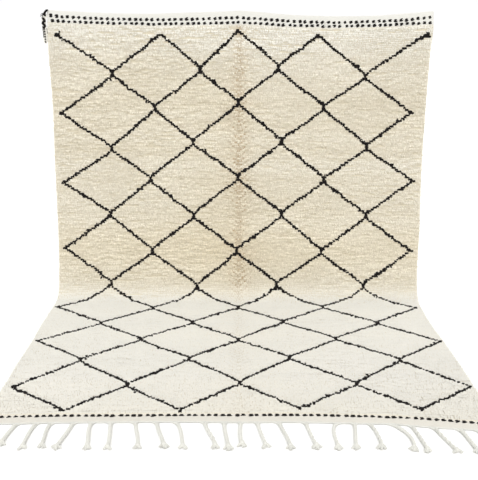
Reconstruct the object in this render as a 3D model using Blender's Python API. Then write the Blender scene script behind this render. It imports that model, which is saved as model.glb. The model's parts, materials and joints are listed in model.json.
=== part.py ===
"""A Beni Ourain rug, held up by its top edge and run out over the floor.

The cloth hangs straight down from its top edge, leans gently forward as it
nears the floor, turns through one bend and lies flat with its pile up. It is
one woven piece: a flat-woven end band at the top, the thick pile field, and
a flat-woven end band at the front, whose warp ends are gathered into tassels.

Frame: metres, +Z up, the floor at z = 0. +Y is towards the hanging part and
-Y towards the fringe. The origin is the middle of the footprint.

Places on the cloth are given by x, across the rug from its centre line, and
s, the way along the pile face from the level of the held top edge down the
hanging part, round the bend and out over the floor.
"""
import bpy
import bmesh
from math import pi, sin, cos, radians
import numpy as np

# ---------------------------------------------------------------- main sizes
HANG = 1.470            # hanging stretch, along the pile face
BEND = 0.170            # the bend onto the floor, along the pile face
FRONT = 2.749           # s of the front edge where it is straight
LEAN = radians(13.0)    # lean of the cloth where the bend starts
PILE_T = 0.020          # foundation and pile together
BAND_T = 0.006          # flat-woven ends
SELVEDGE_T = 0.010      # the pile thins to this at the side edges
SELVEDGE_W = 0.016      # over this width
TOP_BAND = 0.064        # depth of the flat-woven band at the top
FRONT_BAND = 0.042      # depth of the flat-woven band at the front
PILE_RAMP = 0.014       # the pile rises to its height over this length
CREASE_X = 0.000        # the lengthwise fold line, half way across
CREASE_D = 0.005        # how deep it lies
CREASE_W = 0.020        # and its half width
FLUTE_D = 0.008         # swing of the cloth between the three held places
GAP = 0.0003            # between pieces that touch
ORIGIN_X = -0.0100      # the footprint's middle, from the centre line
ORIGIN_Y = -0.5047      # and from the end of the bend

# The side edges, as uneven as they are woven: distances from the centre line.
SIDE_EDGES = (
    # s,     left,   right
    (0.000, -1.017, 1.026),
    (0.100, -1.022, 1.033),
    (0.200, -1.026, 1.027),
    (0.520, -1.022, 1.025),
    (0.790, -1.028, 1.024),
    (1.050, -1.027, 1.028),
    (1.190, -1.025, 1.031),
    (1.400, -1.025, 1.025),
    (1.530, -1.028, 1.027),
    (1.640, -1.027, 1.020),
    (1.780, -1.028, 1.015),
    (1.930, -1.027, 1.016),
    (2.070, -1.022, 1.023),
    (2.300, -1.025, 1.029),
    (2.420, -1.021, 1.029),
    (2.600, -1.022, 1.030),
    (2.860, -1.018, 1.032),
)

# The top edge dips between the left corner, the middle and the right corner.
TOP_EDGE = (
    # x,      dip
    (-1.030, 0.004),
    (-1.000, 0.007),
    (-0.940, 0.010),
    (-0.860, 0.013),
    (-0.780, 0.017),
    (-0.694, 0.020),
    (-0.610, 0.021),
    (-0.525, 0.022),
    (-0.440, 0.021),
    (-0.355, 0.018),
    (-0.270, 0.015),
    (-0.186, 0.012),
    (-0.078, 0.008),
    (0.000, 0.003),
    (0.080, 0.008),
    (0.154, 0.014),
    (0.238, 0.021),
    (0.323, 0.025),
    (0.408, 0.027),
    (0.493, 0.029),
    (0.578, 0.028),
    (0.660, 0.026),
    (0.747, 0.023),
    (0.832, 0.016),
    (0.917, 0.009),
    (0.980, 0.003),
    (1.040, 0.000),
)

# The front edge runs out further towards the right corner.
FRONT_EDGE = (
    # x,      reach past FRONT
    (-1.040, 0.016),
    (-0.860, 0.014),
    (-0.790, 0.009),
    (-0.700, 0.006),
    (-0.465, 0.002),
    (-0.330, -0.001),
    (-0.150, -0.001),
    (0.000, 0.001),
    (0.200, -0.002),
    (0.300, 0.000),
    (0.450, 0.006),
    (0.600, 0.008),
    (0.690, 0.021),
    (0.775, 0.033),
    (0.858, 0.041),
    (1.040, 0.058),
)

# The tassels, left to right.
TASSELS = (
    # x at the root, a third and two thirds of the way, and the tip; s of the tip
    (-0.962, -0.968, -0.976, -0.985, 2.925),
    (-0.880, -0.885, -0.892, -0.893, 2.907),
    (-0.800, -0.808, -0.809, -0.806, 2.936),
    (-0.742, -0.746, -0.742, -0.739, 2.926),
    (-0.656, -0.662, -0.672, -0.687, 2.934),
    (-0.583, -0.581, -0.575, -0.565, 2.929),
    (-0.507, -0.499, -0.494, -0.491, 2.935),
    (-0.411, -0.397, -0.386, -0.377, 2.928),
    (-0.327, -0.311, -0.294, -0.274, 2.928),
    (-0.248, -0.229, -0.214, -0.212, 2.932),
    (-0.133, -0.120, -0.099, -0.089, 2.930),
    (-0.057, -0.054, -0.047, -0.038, 2.930),
    (0.006, 0.004, 0.006, 0.018, 2.918),
    (0.073, 0.080, 0.094, 0.102, 2.923),
    (0.159, 0.173, 0.185, 0.194, 2.929),
    (0.266, 0.272, 0.283, 0.293, 2.925),
    (0.387, 0.369, 0.369, 0.371, 2.931),
    (0.457, 0.452, 0.443, 0.438, 2.931),
    (0.521, 0.532, 0.537, 0.531, 2.927),
    (0.605, 0.646, 0.662, 0.644, 2.936),
    (0.683, 0.691, 0.698, 0.703, 2.944),
    (0.769, 0.781, 0.799, 0.815, 2.950),
    (0.864, 0.874, 0.884, 0.890, 2.946),
    (0.934, 0.943, 0.949, 0.951, 2.959),
    (0.999, 1.002, 1.008, 1.012, 2.967),
)
CORD_R = 0.0080         # radius of a tassel cord
KNOT_R = 0.0115         # its knot
TIP_R = 0.0125          # its frayed tip
SPINE_W = 0.010         # the strip of weft that the tassels grow from
SPINE_T = 0.0055

# The tail of the band's twining yarns, beside the top left corner: out from
# the left edge, down from the top level, and back from the pile face.
TAIL = (
    # out,    down,  back
    (0.0020, 0.036, 0.0250),
    (0.0090, 0.035, 0.0255),
    (0.0150, 0.039, 0.0260),
    (0.0195, 0.051, 0.0275),
    (0.0215, 0.070, 0.0290),
    (0.0205, 0.098, 0.0300),
    (0.0192, 0.122, 0.0300),
    (0.0188, 0.144, 0.0295),
    (0.0190, 0.160, 0.0290),
    (0.0192, 0.170, 0.0285),
)
TAIL_W = 0.024
TAIL_T = 0.0070

# ------------------------------------------------------------ the cloth's run
STEP = 0.002


def smooth(t):
    t = np.clip(t, 0.0, 1.0)
    return t * t * (3.0 - 2.0 * t)


def table(rows, column, at):
    """A column of a table, read at a place between its rows."""
    first = [r[0] for r in rows]
    return np.interp(at, first, [r[column] for r in rows])


def angle(s):
    """Angle of the cloth from the vertical: 0 hanging, a right angle flat."""
    s = np.asarray(s, float)
    hanging = LEAN * np.clip(s, 0.0, HANG) / HANG
    turn = smooth((s - HANG) / BEND)
    return hanging + (pi / 2.0 - LEAN) * turn


def run_line():
    """The pile face seen from the side, with the floor stretch at PILE_T."""
    s = np.arange(-0.02, HANG + BEND + STEP / 2.0, STEP)
    a = angle(s)
    mid = (a[1:] + a[:-1]) / 2.0
    y = np.concatenate([[0.0], np.cumsum(-np.sin(mid) * STEP)])
    z = np.concatenate([[0.0], np.cumsum(-np.cos(mid) * STEP)])
    return s, y - y[-1], z - z[-1] + PILE_T


RUN_S, RUN_Y, RUN_Z = run_line()


def face_line(s):
    """y, z and angle of the pile face at s, before its unevenness."""
    s = np.asarray(s, float)
    end = HANG + BEND
    y = np.where(s < end, np.interp(s, RUN_S, RUN_Y), end - s)
    z = np.where(s < end, np.interp(s, RUN_S, RUN_Z), PILE_T)
    return y, z, np.where(s < end, angle(s), pi / 2.0)


def relief(x, s):
    """How far the whole cloth stands forward or back of its plain run."""
    hang = 1.0 - smooth((s - 0.9 * HANG) / (0.1 * HANG + 0.3 * BEND))
    crease = -CREASE_D * np.exp(-((x - CREASE_X) / CREASE_W) ** 2)
    flute = -FLUTE_D * np.cos(2.0 * pi * x / 1.03) * np.exp(-s / 0.75)
    return hang * (crease + flute)


def thickness(x, s, start, end, left, right):
    """Foundation and pile: thin in the bands, rounded off at the selvedges."""
    up = smooth((s - start - TOP_BAND) / PILE_RAMP)
    down = smooth((end - FRONT_BAND - s) / PILE_RAMP)
    full = BAND_T + (PILE_T - BAND_T) * min(up, down)
    inset = min(x - left, right - x)
    edge = min(full, SELVEDGE_T)
    side = smooth(inset / SELVEDGE_W) ** 0.5
    lying = smooth((s - HANG) / BEND)
    groove = lying * 0.004 * np.exp(-((x - CREASE_X) / CREASE_W) ** 2)
    return edge + (full - edge) * side - groove * min(up, down)


def cloth_point(x, s, height):
    """World place of a point at this height over the back of the cloth."""
    y, z, a = face_line(s)
    off = height - PILE_T + relief(x, s)
    return (
        float(x) - ORIGIN_X,
        float(y - cos(a) * off) - ORIGIN_Y,
        float(z + sin(a) * off) if s < HANG + BEND else float(height),
    )


def station(t, across):
    """The place at share t of the length and share `across` of the width.

    The rows follow the dips of the top edge near the top and the front edge
    near the front, and run straight across in between.
    """
    left = float(table(SIDE_EDGES, 1, t))
    right = float(table(SIDE_EDGES, 2, t))
    x = left + (right - left) * across
    start = float(table(TOP_EDGE, 1, x))
    end = FRONT + float(table(FRONT_EDGE, 1, x))
    s = t + start * (1.0 - smooth(t / 0.7)) + (end - FRONT) * smooth((t - 2.1) / (FRONT - 2.1))
    return x, float(s), start, end, left, right


# ------------------------------------------------------------------ materials
def material(name, colour, roughness):
    mat = bpy.data.materials.new(name)
    mat.use_nodes = True
    shader = mat.node_tree.nodes["Principled BSDF"]
    shader.inputs["Base Color"].default_value = (*colour, 1.0)
    shader.inputs["Roughness"].default_value = roughness
    shader.inputs["Metallic"].default_value = 0.0
    mat.diffuse_color = (*colour, 1.0)
    return mat


def new_object(name, bm, mat):
    bmesh.ops.recalc_face_normals(bm, faces=bm.faces[:])
    mesh = bpy.data.meshes.new(name)
    bm.to_mesh(mesh)
    bm.free()
    ob = bpy.data.objects.new(name, mesh)
    bpy.context.scene.collection.objects.link(ob)
    mesh.materials.append(mat)
    return ob


# ------------------------------------------------------------------ the rug
def row_stations():
    """Places along the length: close together at the bands and in the bend."""
    bend_end = HANG + BEND
    back = FRONT - FRONT_BAND
    return (
        [0.0, 0.040, TOP_BAND, TOP_BAND + PILE_RAMP]
        + [0.15 + 0.110 * i for i in range(13)]
        + [HANG + BEND * i / 10.0 for i in range(10)]
        + [bend_end + 0.0005]
        + [bend_end + 0.104 * i for i in range(1, 10)]
        + [back - PILE_RAMP, back, FRONT - 0.035, FRONT]
    )


def column_stations():
    """Shares of the width: close together at the selvedges and the crease."""
    near = [0.0, 0.0030, 0.008, 0.04]
    field = [0.09, 0.14, 0.19, 0.24, 0.29, 0.34, 0.39, 0.435, 0.470, 0.486, 0.494]
    half = near + field
    return half + [0.5] + [1.0 - c for c in reversed(half)]


def make_rug():
    rows, columns = row_stations(), column_stations()
    bm = bmesh.new()
    face, back = [], []
    for t in rows:
        above, below = [], []
        for c in columns:
            x, s, start, end, left, right = station(t, c)
            high = thickness(x, s, start, end, left, right)
            above.append(bm.verts.new(cloth_point(x, s, high)))
            below.append(bm.verts.new(cloth_point(x, s, 0.0)))
        face.append(above)
        back.append(below)
    last_row, last = len(rows) - 1, len(columns) - 1
    for i in range(last_row):
        for j in range(last):
            bm.faces.new((face[i][j], face[i][j + 1], face[i + 1][j + 1], face[i + 1][j]))
            bm.faces.new((back[i][j], back[i + 1][j], back[i + 1][j + 1], back[i][j + 1]))
        bm.faces.new((face[i][0], face[i + 1][0], back[i + 1][0], back[i][0]))
        bm.faces.new((face[i][last], back[i][last], back[i + 1][last], face[i + 1][last]))
    for j in range(last):
        bm.faces.new((face[0][j], back[0][j], back[0][j + 1], face[0][j + 1]))
        bm.faces.new((face[last_row][j], face[last_row][j + 1], back[last_row][j + 1], back[last_row][j]))
    ob = new_object("rug", bm, material("ivory_wool", (0.80, 0.74, 0.60), 0.95))
    ob.data.shade_smooth()
    ob.data.set_sharp_from_angle(angle=radians(40.0))
    return ob


# ------------------------------------------------------------------ the fringe
def floor_point(x, s, z):
    return (x - ORIGIN_X, HANG + BEND - s - ORIGIN_Y, z)


def front_places():
    """The x of each of the rug's columns at its front edge."""
    return [station(FRONT, c)[0] for c in column_stations()]


def front_at(x):
    """s of the rug's front edge, straight between its columns."""
    places = front_places()
    ends = [FRONT + float(table(FRONT_EDGE, 1, p)) for p in places]
    return float(np.interp(x, places, ends))


def tassel_section(t):
    """Radius of a tassel at share t of its length, with its knot and tip."""
    if t < 0.12:
        return CORD_R * (0.55 + 0.45 * t / 0.12)
    knot = (KNOT_R - CORD_R) * np.exp(-((t - 0.87) / 0.06) ** 2)
    tip = (TIP_R - CORD_R) * smooth((t - 0.88) / 0.06) * (1.0 - 0.5 * smooth((t - 0.95) / 0.05))
    return CORD_R + knot + tip


def tassel_x(row, t):
    """x of a tassel at share t of its length: one cubic through its four x."""
    a, b, c, d = row[:4]
    p, q, r, w = t, 3.0 * t - 1.0, 3.0 * t - 2.0, t - 1.0
    return (-a * q * r * w + 9.0 * b * p * r * w - 9.0 * c * p * q * w + d * p * q * r) / 2.0


def make_spine():
    """The strip of weft along the front edge, dipping between the tassels."""
    bm = bmesh.new()
    roots = [r[0] for r in TASSELS]
    middles = [(a + b) / 2.0 for a, b in zip(roots, roots[1:])]
    places = sorted(roots + middles + front_places())
    places = [x for x, after in zip(places, places[1:] + [9.0]) if after - x > 0.002]
    rings = []
    for x in places:
        back = front_at(x) + GAP
        away = min(abs(x - r) for r in roots)
        web = SPINE_W * (1.0 - 0.6 * float(smooth(away / 0.035)))
        rings.append([
            bm.verts.new(floor_point(x, back, 0.0003)),
            bm.verts.new(floor_point(x, back + web, 0.0003)),
            bm.verts.new(floor_point(x, back + web, SPINE_T * 0.7)),
            bm.verts.new(floor_point(x, back, SPINE_T)),
        ])
    for a, b in zip(rings, rings[1:]):
        for k in range(4):
            bm.faces.new((a[k], a[(k + 1) % 4], b[(k + 1) % 4], b[k]))
    bm.faces.new(rings[0])
    bm.faces.new(rings[-1][::-1])
    return new_object("fringe", bm, material("ivory_warp", (0.82, 0.79, 0.70), 0.9))


def make_tassels():
    """All the tassel cords in one mesh, each lying flat on the floor."""
    bm = bmesh.new()
    shares = (0.0, 0.12, 0.28, 0.44, 0.60, 0.74, 0.84, 0.90, 0.96, 1.0)
    sides = 6
    for row in TASSELS:
        root, reach = row[0], row[4]
        start = front_at(root) + GAP + 0.0015
        rings = []
        for t in shares:
            r = tassel_section(t)
            x = tassel_x(row, t)
            s = start + (reach - start) * t
            mid = r * cos(pi / sides)
            rings.append([
                bm.verts.new(floor_point(
                    x + r * sin(2.0 * pi * (k + 0.5) / sides), s,
                    mid - r * cos(2.0 * pi * (k + 0.5) / sides)))
                for k in range(sides)
            ])
        for a, b in zip(rings, rings[1:]):
            for k in range(sides):
                bm.faces.new((a[k], b[k], b[(k + 1) % sides], a[(k + 1) % sides]))
        bm.faces.new(rings[0])
        bm.faces.new(rings[-1][::-1])
    return new_object("tassel_cords", bm, bpy.data.materials["ivory_warp"])


def make_fringe():
    spine, cords = make_spine(), make_tassels()
    joined = spine.modifiers.new("join", "BOOLEAN")
    joined.operation = "UNION"
    joined.solver = "EXACT"
    joined.use_self = True
    joined.object = cords
    cords.hide_render = True
    cords.display_type = "WIRE"
    return spine


# -------------------------------------------------------------- the tail
def make_tail():
    """A flat plait, swept down its centre line beside the left edge."""
    bm = bmesh.new()
    left = float(table(SIDE_EDGES, 1, 0.045))
    centre = [np.array([left - row[0], row[1]]) for row in TAIL]
    rings = []
    for i, c in enumerate(centre):
        ahead = centre[min(i + 1, len(centre) - 1)] - centre[max(i - 1, 0)]
        ahead = ahead / np.linalg.norm(ahead)
        side = np.array([-ahead[1], ahead[0]])
        last = i == len(centre) - 1
        w = TAIL_W / 2.0 * (0.55 if last else (0.80 if i == 0 else 1.0))
        h = TAIL_T / 2.0 * (0.6 if last else 1.0)
        ring = []
        for k in range(8):
            turn = 2.0 * pi * (k + 0.5) / 8.0
            p = c + side * w * cos(turn) * 1.0824
            y, z, a = face_line(p[1])
            depth = TAIL[i][2] + h * sin(turn) * 1.0824
            ring.append(bm.verts.new((
                float(p[0]) - ORIGIN_X, float(y) + depth - ORIGIN_Y, float(z))))
        rings.append(ring)
    for a, b in zip(rings, rings[1:]):
        for k in range(8):
            bm.faces.new((a[k], a[(k + 1) % 8], b[(k + 1) % 8], b[k]))
    bm.faces.new(rings[0])
    bm.faces.new(rings[-1][::-1])
    return new_object("corner_tail", bm, material("plaited_yarn", (0.55, 0.53, 0.48), 0.9))


def main():
    for ob in list(bpy.data.objects):
        bpy.data.objects.remove(ob, do_unlink=True)
    make_rug()
    make_fringe()
    make_tail()


main()
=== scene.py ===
"""Looks of the Beni Ourain rug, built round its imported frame.

The cloth hangs from its top edge, turns through one bend and lies over the
floor. Everything on it is placed by x, across from the centre line, s, the way
along the pile face, and h, the height over the back of the cloth, and then
carried to the cloth's own run in space by cloth().
"""

import json
from math import pi, sin, cos, radians

import bpy
import numpy as np
from mathutils import Matrix, Vector

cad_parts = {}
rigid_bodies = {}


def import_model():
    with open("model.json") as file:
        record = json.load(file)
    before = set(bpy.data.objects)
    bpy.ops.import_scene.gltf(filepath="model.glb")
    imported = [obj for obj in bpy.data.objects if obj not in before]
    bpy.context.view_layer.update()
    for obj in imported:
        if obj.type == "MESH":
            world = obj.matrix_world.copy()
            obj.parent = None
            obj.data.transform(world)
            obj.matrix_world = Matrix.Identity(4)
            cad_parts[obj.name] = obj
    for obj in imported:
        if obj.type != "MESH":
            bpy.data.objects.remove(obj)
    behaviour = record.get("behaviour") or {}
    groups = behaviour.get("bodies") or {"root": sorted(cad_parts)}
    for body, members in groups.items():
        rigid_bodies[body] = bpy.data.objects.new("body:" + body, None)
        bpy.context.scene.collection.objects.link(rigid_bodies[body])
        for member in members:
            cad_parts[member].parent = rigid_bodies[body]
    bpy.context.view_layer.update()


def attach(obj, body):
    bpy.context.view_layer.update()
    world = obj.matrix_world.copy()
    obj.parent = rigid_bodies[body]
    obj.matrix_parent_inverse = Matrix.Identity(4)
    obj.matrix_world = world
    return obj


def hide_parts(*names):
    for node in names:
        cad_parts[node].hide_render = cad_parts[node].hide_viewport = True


for ob in list(bpy.data.objects):
    bpy.data.objects.remove(ob)

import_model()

# ------------------------------------------------------- sizes, as in the CAD
HANG = 1.470
BEND = 0.170
FRONT = 2.749
LEAN = radians(13.0)
PILE_T = 0.020
BAND_T = 0.006
SELVEDGE_T = 0.010
SELVEDGE_W = 0.016
TOP_BAND = 0.064
FRONT_BAND = 0.042
PILE_RAMP = 0.014
CREASE_X = 0.000
CREASE_D = 0.005
CREASE_W = 0.020
FLUTE_D = 0.008
ORIGIN_X = -0.0100
ORIGIN_Y = -0.5047

SIDE_EDGES = np.array((
    # s,     left,   right
    (0.000, -1.017, 1.026),
    (0.100, -1.022, 1.033),
    (0.200, -1.026, 1.027),
    (0.520, -1.022, 1.025),
    (0.790, -1.028, 1.024),
    (1.050, -1.027, 1.028),
    (1.190, -1.025, 1.031),
    (1.400, -1.025, 1.025),
    (1.530, -1.028, 1.027),
    (1.640, -1.027, 1.020),
    (1.780, -1.028, 1.015),
    (1.930, -1.027, 1.016),
    (2.070, -1.022, 1.023),
    (2.300, -1.025, 1.029),
    (2.420, -1.021, 1.029),
    (2.600, -1.022, 1.030),
    (2.860, -1.018, 1.032),
))

TOP_EDGE = np.array((
    # x,      dip
    (-1.030, 0.004),
    (-1.000, 0.007),
    (-0.940, 0.010),
    (-0.860, 0.013),
    (-0.780, 0.017),
    (-0.694, 0.020),
    (-0.610, 0.021),
    (-0.525, 0.022),
    (-0.440, 0.021),
    (-0.355, 0.018),
    (-0.270, 0.015),
    (-0.186, 0.012),
    (-0.078, 0.008),
    (0.000, 0.003),
    (0.080, 0.008),
    (0.154, 0.014),
    (0.238, 0.021),
    (0.323, 0.025),
    (0.408, 0.027),
    (0.493, 0.029),
    (0.578, 0.028),
    (0.660, 0.026),
    (0.747, 0.023),
    (0.832, 0.016),
    (0.917, 0.009),
    (0.980, 0.003),
    (1.040, 0.000),
))

FRONT_EDGE = np.array((
    # x,      reach past FRONT
    (-1.040, 0.016),
    (-0.860, 0.014),
    (-0.790, 0.009),
    (-0.700, 0.006),
    (-0.465, 0.002),
    (-0.330, -0.001),
    (-0.150, -0.001),
    (0.000, 0.001),
    (0.200, -0.002),
    (0.300, 0.000),
    (0.450, 0.006),
    (0.600, 0.008),
    (0.690, 0.021),
    (0.775, 0.033),
    (0.858, 0.041),
    (1.040, 0.058),
))

TASSELS = (
    # x at the root, a third and two thirds of the way, and the tip; s of the tip
    (-0.962, -0.968, -0.976, -0.985, 2.925),
    (-0.880, -0.885, -0.892, -0.893, 2.907),
    (-0.800, -0.808, -0.809, -0.806, 2.936),
    (-0.742, -0.746, -0.742, -0.739, 2.926),
    (-0.656, -0.662, -0.672, -0.687, 2.934),
    (-0.583, -0.581, -0.575, -0.565, 2.929),
    (-0.507, -0.499, -0.494, -0.491, 2.935),
    (-0.411, -0.397, -0.386, -0.377, 2.928),
    (-0.327, -0.311, -0.294, -0.274, 2.928),
    (-0.248, -0.229, -0.214, -0.212, 2.932),
    (-0.133, -0.120, -0.099, -0.089, 2.930),
    (-0.057, -0.054, -0.047, -0.038, 2.930),
    (0.006, 0.004, 0.006, 0.018, 2.918),
    (0.073, 0.080, 0.094, 0.102, 2.923),
    (0.159, 0.173, 0.185, 0.194, 2.929),
    (0.266, 0.272, 0.283, 0.293, 2.925),
    (0.387, 0.369, 0.369, 0.371, 2.931),
    (0.457, 0.452, 0.443, 0.438, 2.931),
    (0.521, 0.532, 0.537, 0.531, 2.927),
    (0.605, 0.646, 0.662, 0.644, 2.936),
    (0.683, 0.691, 0.698, 0.703, 2.944),
    (0.769, 0.781, 0.799, 0.815, 2.950),
    (0.864, 0.874, 0.884, 0.890, 2.946),
    (0.934, 0.943, 0.949, 0.951, 2.959),
    (0.999, 1.002, 1.008, 1.012, 2.967),
)
CORD_R = 0.0080

TAIL = np.array((
    # out,    down,  back
    (0.0020, 0.036, 0.0250),
    (0.0090, 0.035, 0.0255),
    (0.0150, 0.039, 0.0260),
    (0.0195, 0.051, 0.0275),
    (0.0215, 0.070, 0.0290),
    (0.0205, 0.098, 0.0300),
    (0.0192, 0.122, 0.0300),
    (0.0188, 0.144, 0.0295),
    (0.0190, 0.160, 0.0290),
    (0.0192, 0.170, 0.0285),
))

# ------------------------------------------------------- sizes of the looks
ROW = 0.0095            # from one row of knots to the next
KNOTS = 410             # knots in a row
TUFT_W = 0.0082         # width of a tuft
TUFT_LAY = 0.0125       # how far its tip lies down the pile
BED = 0.56              # the dense foot of the pile, as a share of its height
SOFT = 0.55             # how far the tufts' shading follows the cloth's own face
SOFT_LYING = 0.80       # and where it lies on the floor, the pile pressed smoother
GROUND_H = 0.0054       # face of the woven ground
BACK_H = 0.0014         # its back, with the knots' backs proud of it
LINE_HALF = 0.0081      # half the length of a dash of the lattice
STEM_HALF = 0.0110      # half the stem where two points of the lattice meet
TIP_SHIFT = 0.0065      # a tuft shows this far down from its knot

# The lattice: where the lines meet, in rows down the cloth. Each row lists
# (x, s) from left to right. Rows of five and rows of four alternate.
LATTICE = (
    ((-0.970, 0.130), (-0.419, 0.125), (-0.008, 0.104), (0.415, 0.125), (0.995, 0.117)),
    ((-0.683, 0.328), (-0.213, 0.306), (0.210, 0.294), (0.680, 0.336)),
    ((-0.974, 0.540), (-0.462, 0.508), (-0.006, 0.478), (0.463, 0.503), (0.945, 0.527)),
    ((-0.705, 0.730), (-0.256, 0.694), (0.235, 0.687), (0.708, 0.715)),
    ((-0.982, 0.922), (-0.494, 0.899), (-0.007, 0.888), (0.476, 0.899), (0.978, 0.904)),
    ((-0.722, 1.098), (-0.255, 1.105), (0.243, 1.094), (0.719, 1.101)),
    ((-0.987, 1.292), (-0.490, 1.307), (-0.012, 1.305), (0.472, 1.307), (0.982, 1.301)),
    ((-0.729, 1.494), (-0.234, 1.509), (0.222, 1.498), (0.716, 1.505)),
    ((-0.997, 1.687), (-0.470, 1.694), (-0.001, 1.678), (0.469, 1.674), (0.986, 1.681)),
    ((-0.719, 1.885), (-0.243, 1.873), (0.236, 1.862), (0.731, 1.872)),
    ((-0.992, 2.086), (-0.485, 2.066), (0.001, 2.062), (0.486, 2.052), (1.004, 2.077)),
    ((-0.737, 2.274), (-0.232, 2.259), (0.238, 2.247), (0.758, 2.264)),
    ((-0.978, 2.516), (-0.486, 2.491), (0.004, 2.468), (0.515, 2.477), (1.010, 2.499)),
    ((-0.712, 2.685), (-0.240, 2.682), (0.248, 2.664), (0.744, 2.672)),
)

# Rows of twined marks in the flat-woven ends: the way down from the top edge,
# and for the front row s itself.
TOP_MARKS = np.array((
    # x,      upper row, lower row
    (-1.030, 0.026, 0.049),
    (-0.980, 0.029, 0.051),
    (-0.900, 0.031, 0.053),
    (-0.780, 0.029, 0.051),
    (-0.600, 0.029, 0.050),
    (-0.440, 0.031, 0.052),
    (-0.270, 0.033, 0.054),
    (-0.060, 0.035, 0.059),
    (0.080, 0.035, 0.059),
    (0.238, 0.032, 0.053),
    (0.408, 0.033, 0.051),
    (0.578, 0.031, 0.050),
    (0.747, 0.030, 0.049),
    (0.900, 0.034, 0.054),
    (0.990, 0.030, 0.057),
    (1.040, 0.025, 0.057),
))
FRONT_MARKS = np.array((
    # x,      s
    (-1.030, 2.7228),
    (-0.920, 2.7207),
    (-0.820, 2.7161),
    (-0.725, 2.7119),
    (-0.530, 2.7094),
    (-0.430, 2.7085),
    (-0.336, 2.7060),
    (0.000, 2.7040),
    (0.150, 2.7020),
    (0.344, 2.7030),
    (0.440, 2.7075),
    (0.540, 2.7105),
    (0.636, 2.7174),
    (0.733, 2.7245),
    (0.830, 2.7364),
    (0.927, 2.7500),
    (1.040, 2.7640),
))

# ------------------------------------------------------------ the cloth's run
STEP = 0.002


def smooth(t):
    t = np.clip(t, 0.0, 1.0)
    return t * t * (3.0 - 2.0 * t)


def column(rows, k, at):
    return np.interp(at, rows[:, 0], rows[:, k])


def angle(s):
    hanging = LEAN * np.clip(s, 0.0, HANG) / HANG
    return hanging + (pi / 2.0 - LEAN) * smooth((s - HANG) / BEND)


def run_line():
    s = np.arange(-0.02, HANG + BEND + STEP / 2.0, STEP)
    a = angle(s)
    mid = (a[1:] + a[:-1]) / 2.0
    y = np.concatenate([[0.0], np.cumsum(-np.sin(mid) * STEP)])
    z = np.concatenate([[0.0], np.cumsum(-np.cos(mid) * STEP)])
    return s, y - y[-1], z - z[-1] + PILE_T


RUN_S, RUN_Y, RUN_Z = run_line()


def relief(x, s):
    hang = 1.0 - smooth((s - 0.9 * HANG) / (0.1 * HANG + 0.3 * BEND))
    crease = -CREASE_D * np.exp(-((x - CREASE_X) / CREASE_W) ** 2)
    flute = -FLUTE_D * np.cos(2.0 * pi * x / 1.03) * np.exp(-s / 0.75)
    return hang * (crease + flute)


def cloth(x, s, h):
    """Points in space, shape (..., 3), for places on and over the cloth."""
    x, s, h = np.broadcast_arrays(np.asarray(x, float), s, h)
    end = HANG + BEND
    lying = s >= end
    y = np.where(lying, end - s, np.interp(s, RUN_S, RUN_Y))
    z = np.where(lying, PILE_T, np.interp(s, RUN_S, RUN_Z))
    a = np.where(lying, pi / 2.0, angle(s))
    off = h - PILE_T + relief(x, s)
    return np.stack([
        x - ORIGIN_X,
        y - np.cos(a) * off - ORIGIN_Y,
        np.where(lying, h, z + np.sin(a) * off),
    ], axis=-1)


def facing_at(s):
    """The way the pile face looks at s."""
    a = np.where(s >= HANG + BEND, pi / 2.0, angle(s))
    return np.stack([0.0 * a, -np.cos(a), np.sin(a)], axis=-1)


def front_edge(x):
    return FRONT + column(FRONT_EDGE, 1, x)


def rows_at(t, x):
    """s of the row at t: it follows the dips of both ends near them."""
    start = column(TOP_EDGE, 1, x)
    reach = column(FRONT_EDGE, 1, x)
    return t + start * (1.0 - smooth(t / 0.7)) + reach * smooth((t - 2.1) / (FRONT - 2.1))


def thickness(x, s, left, right):
    start = column(TOP_EDGE, 1, x)
    up = smooth((s - start - column(TOP_MARKS, 2, x) - 0.005) / PILE_RAMP)
    down = smooth((column(FRONT_MARKS, 1, x) + 0.004 - s) / PILE_RAMP)
    both = np.minimum(up, down)
    full = BAND_T + (PILE_T - BAND_T) * both
    inset = np.minimum(x - left, right - x)
    edge = np.minimum(full, SELVEDGE_T + 0.002)
    side = smooth(inset / SELVEDGE_W) ** 0.5
    groove = 0.004 * smooth((s - HANG) / BEND) * np.exp(-((x - CREASE_X) / CREASE_W) ** 2)
    return edge + (full - edge) * side - groove * both


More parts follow.
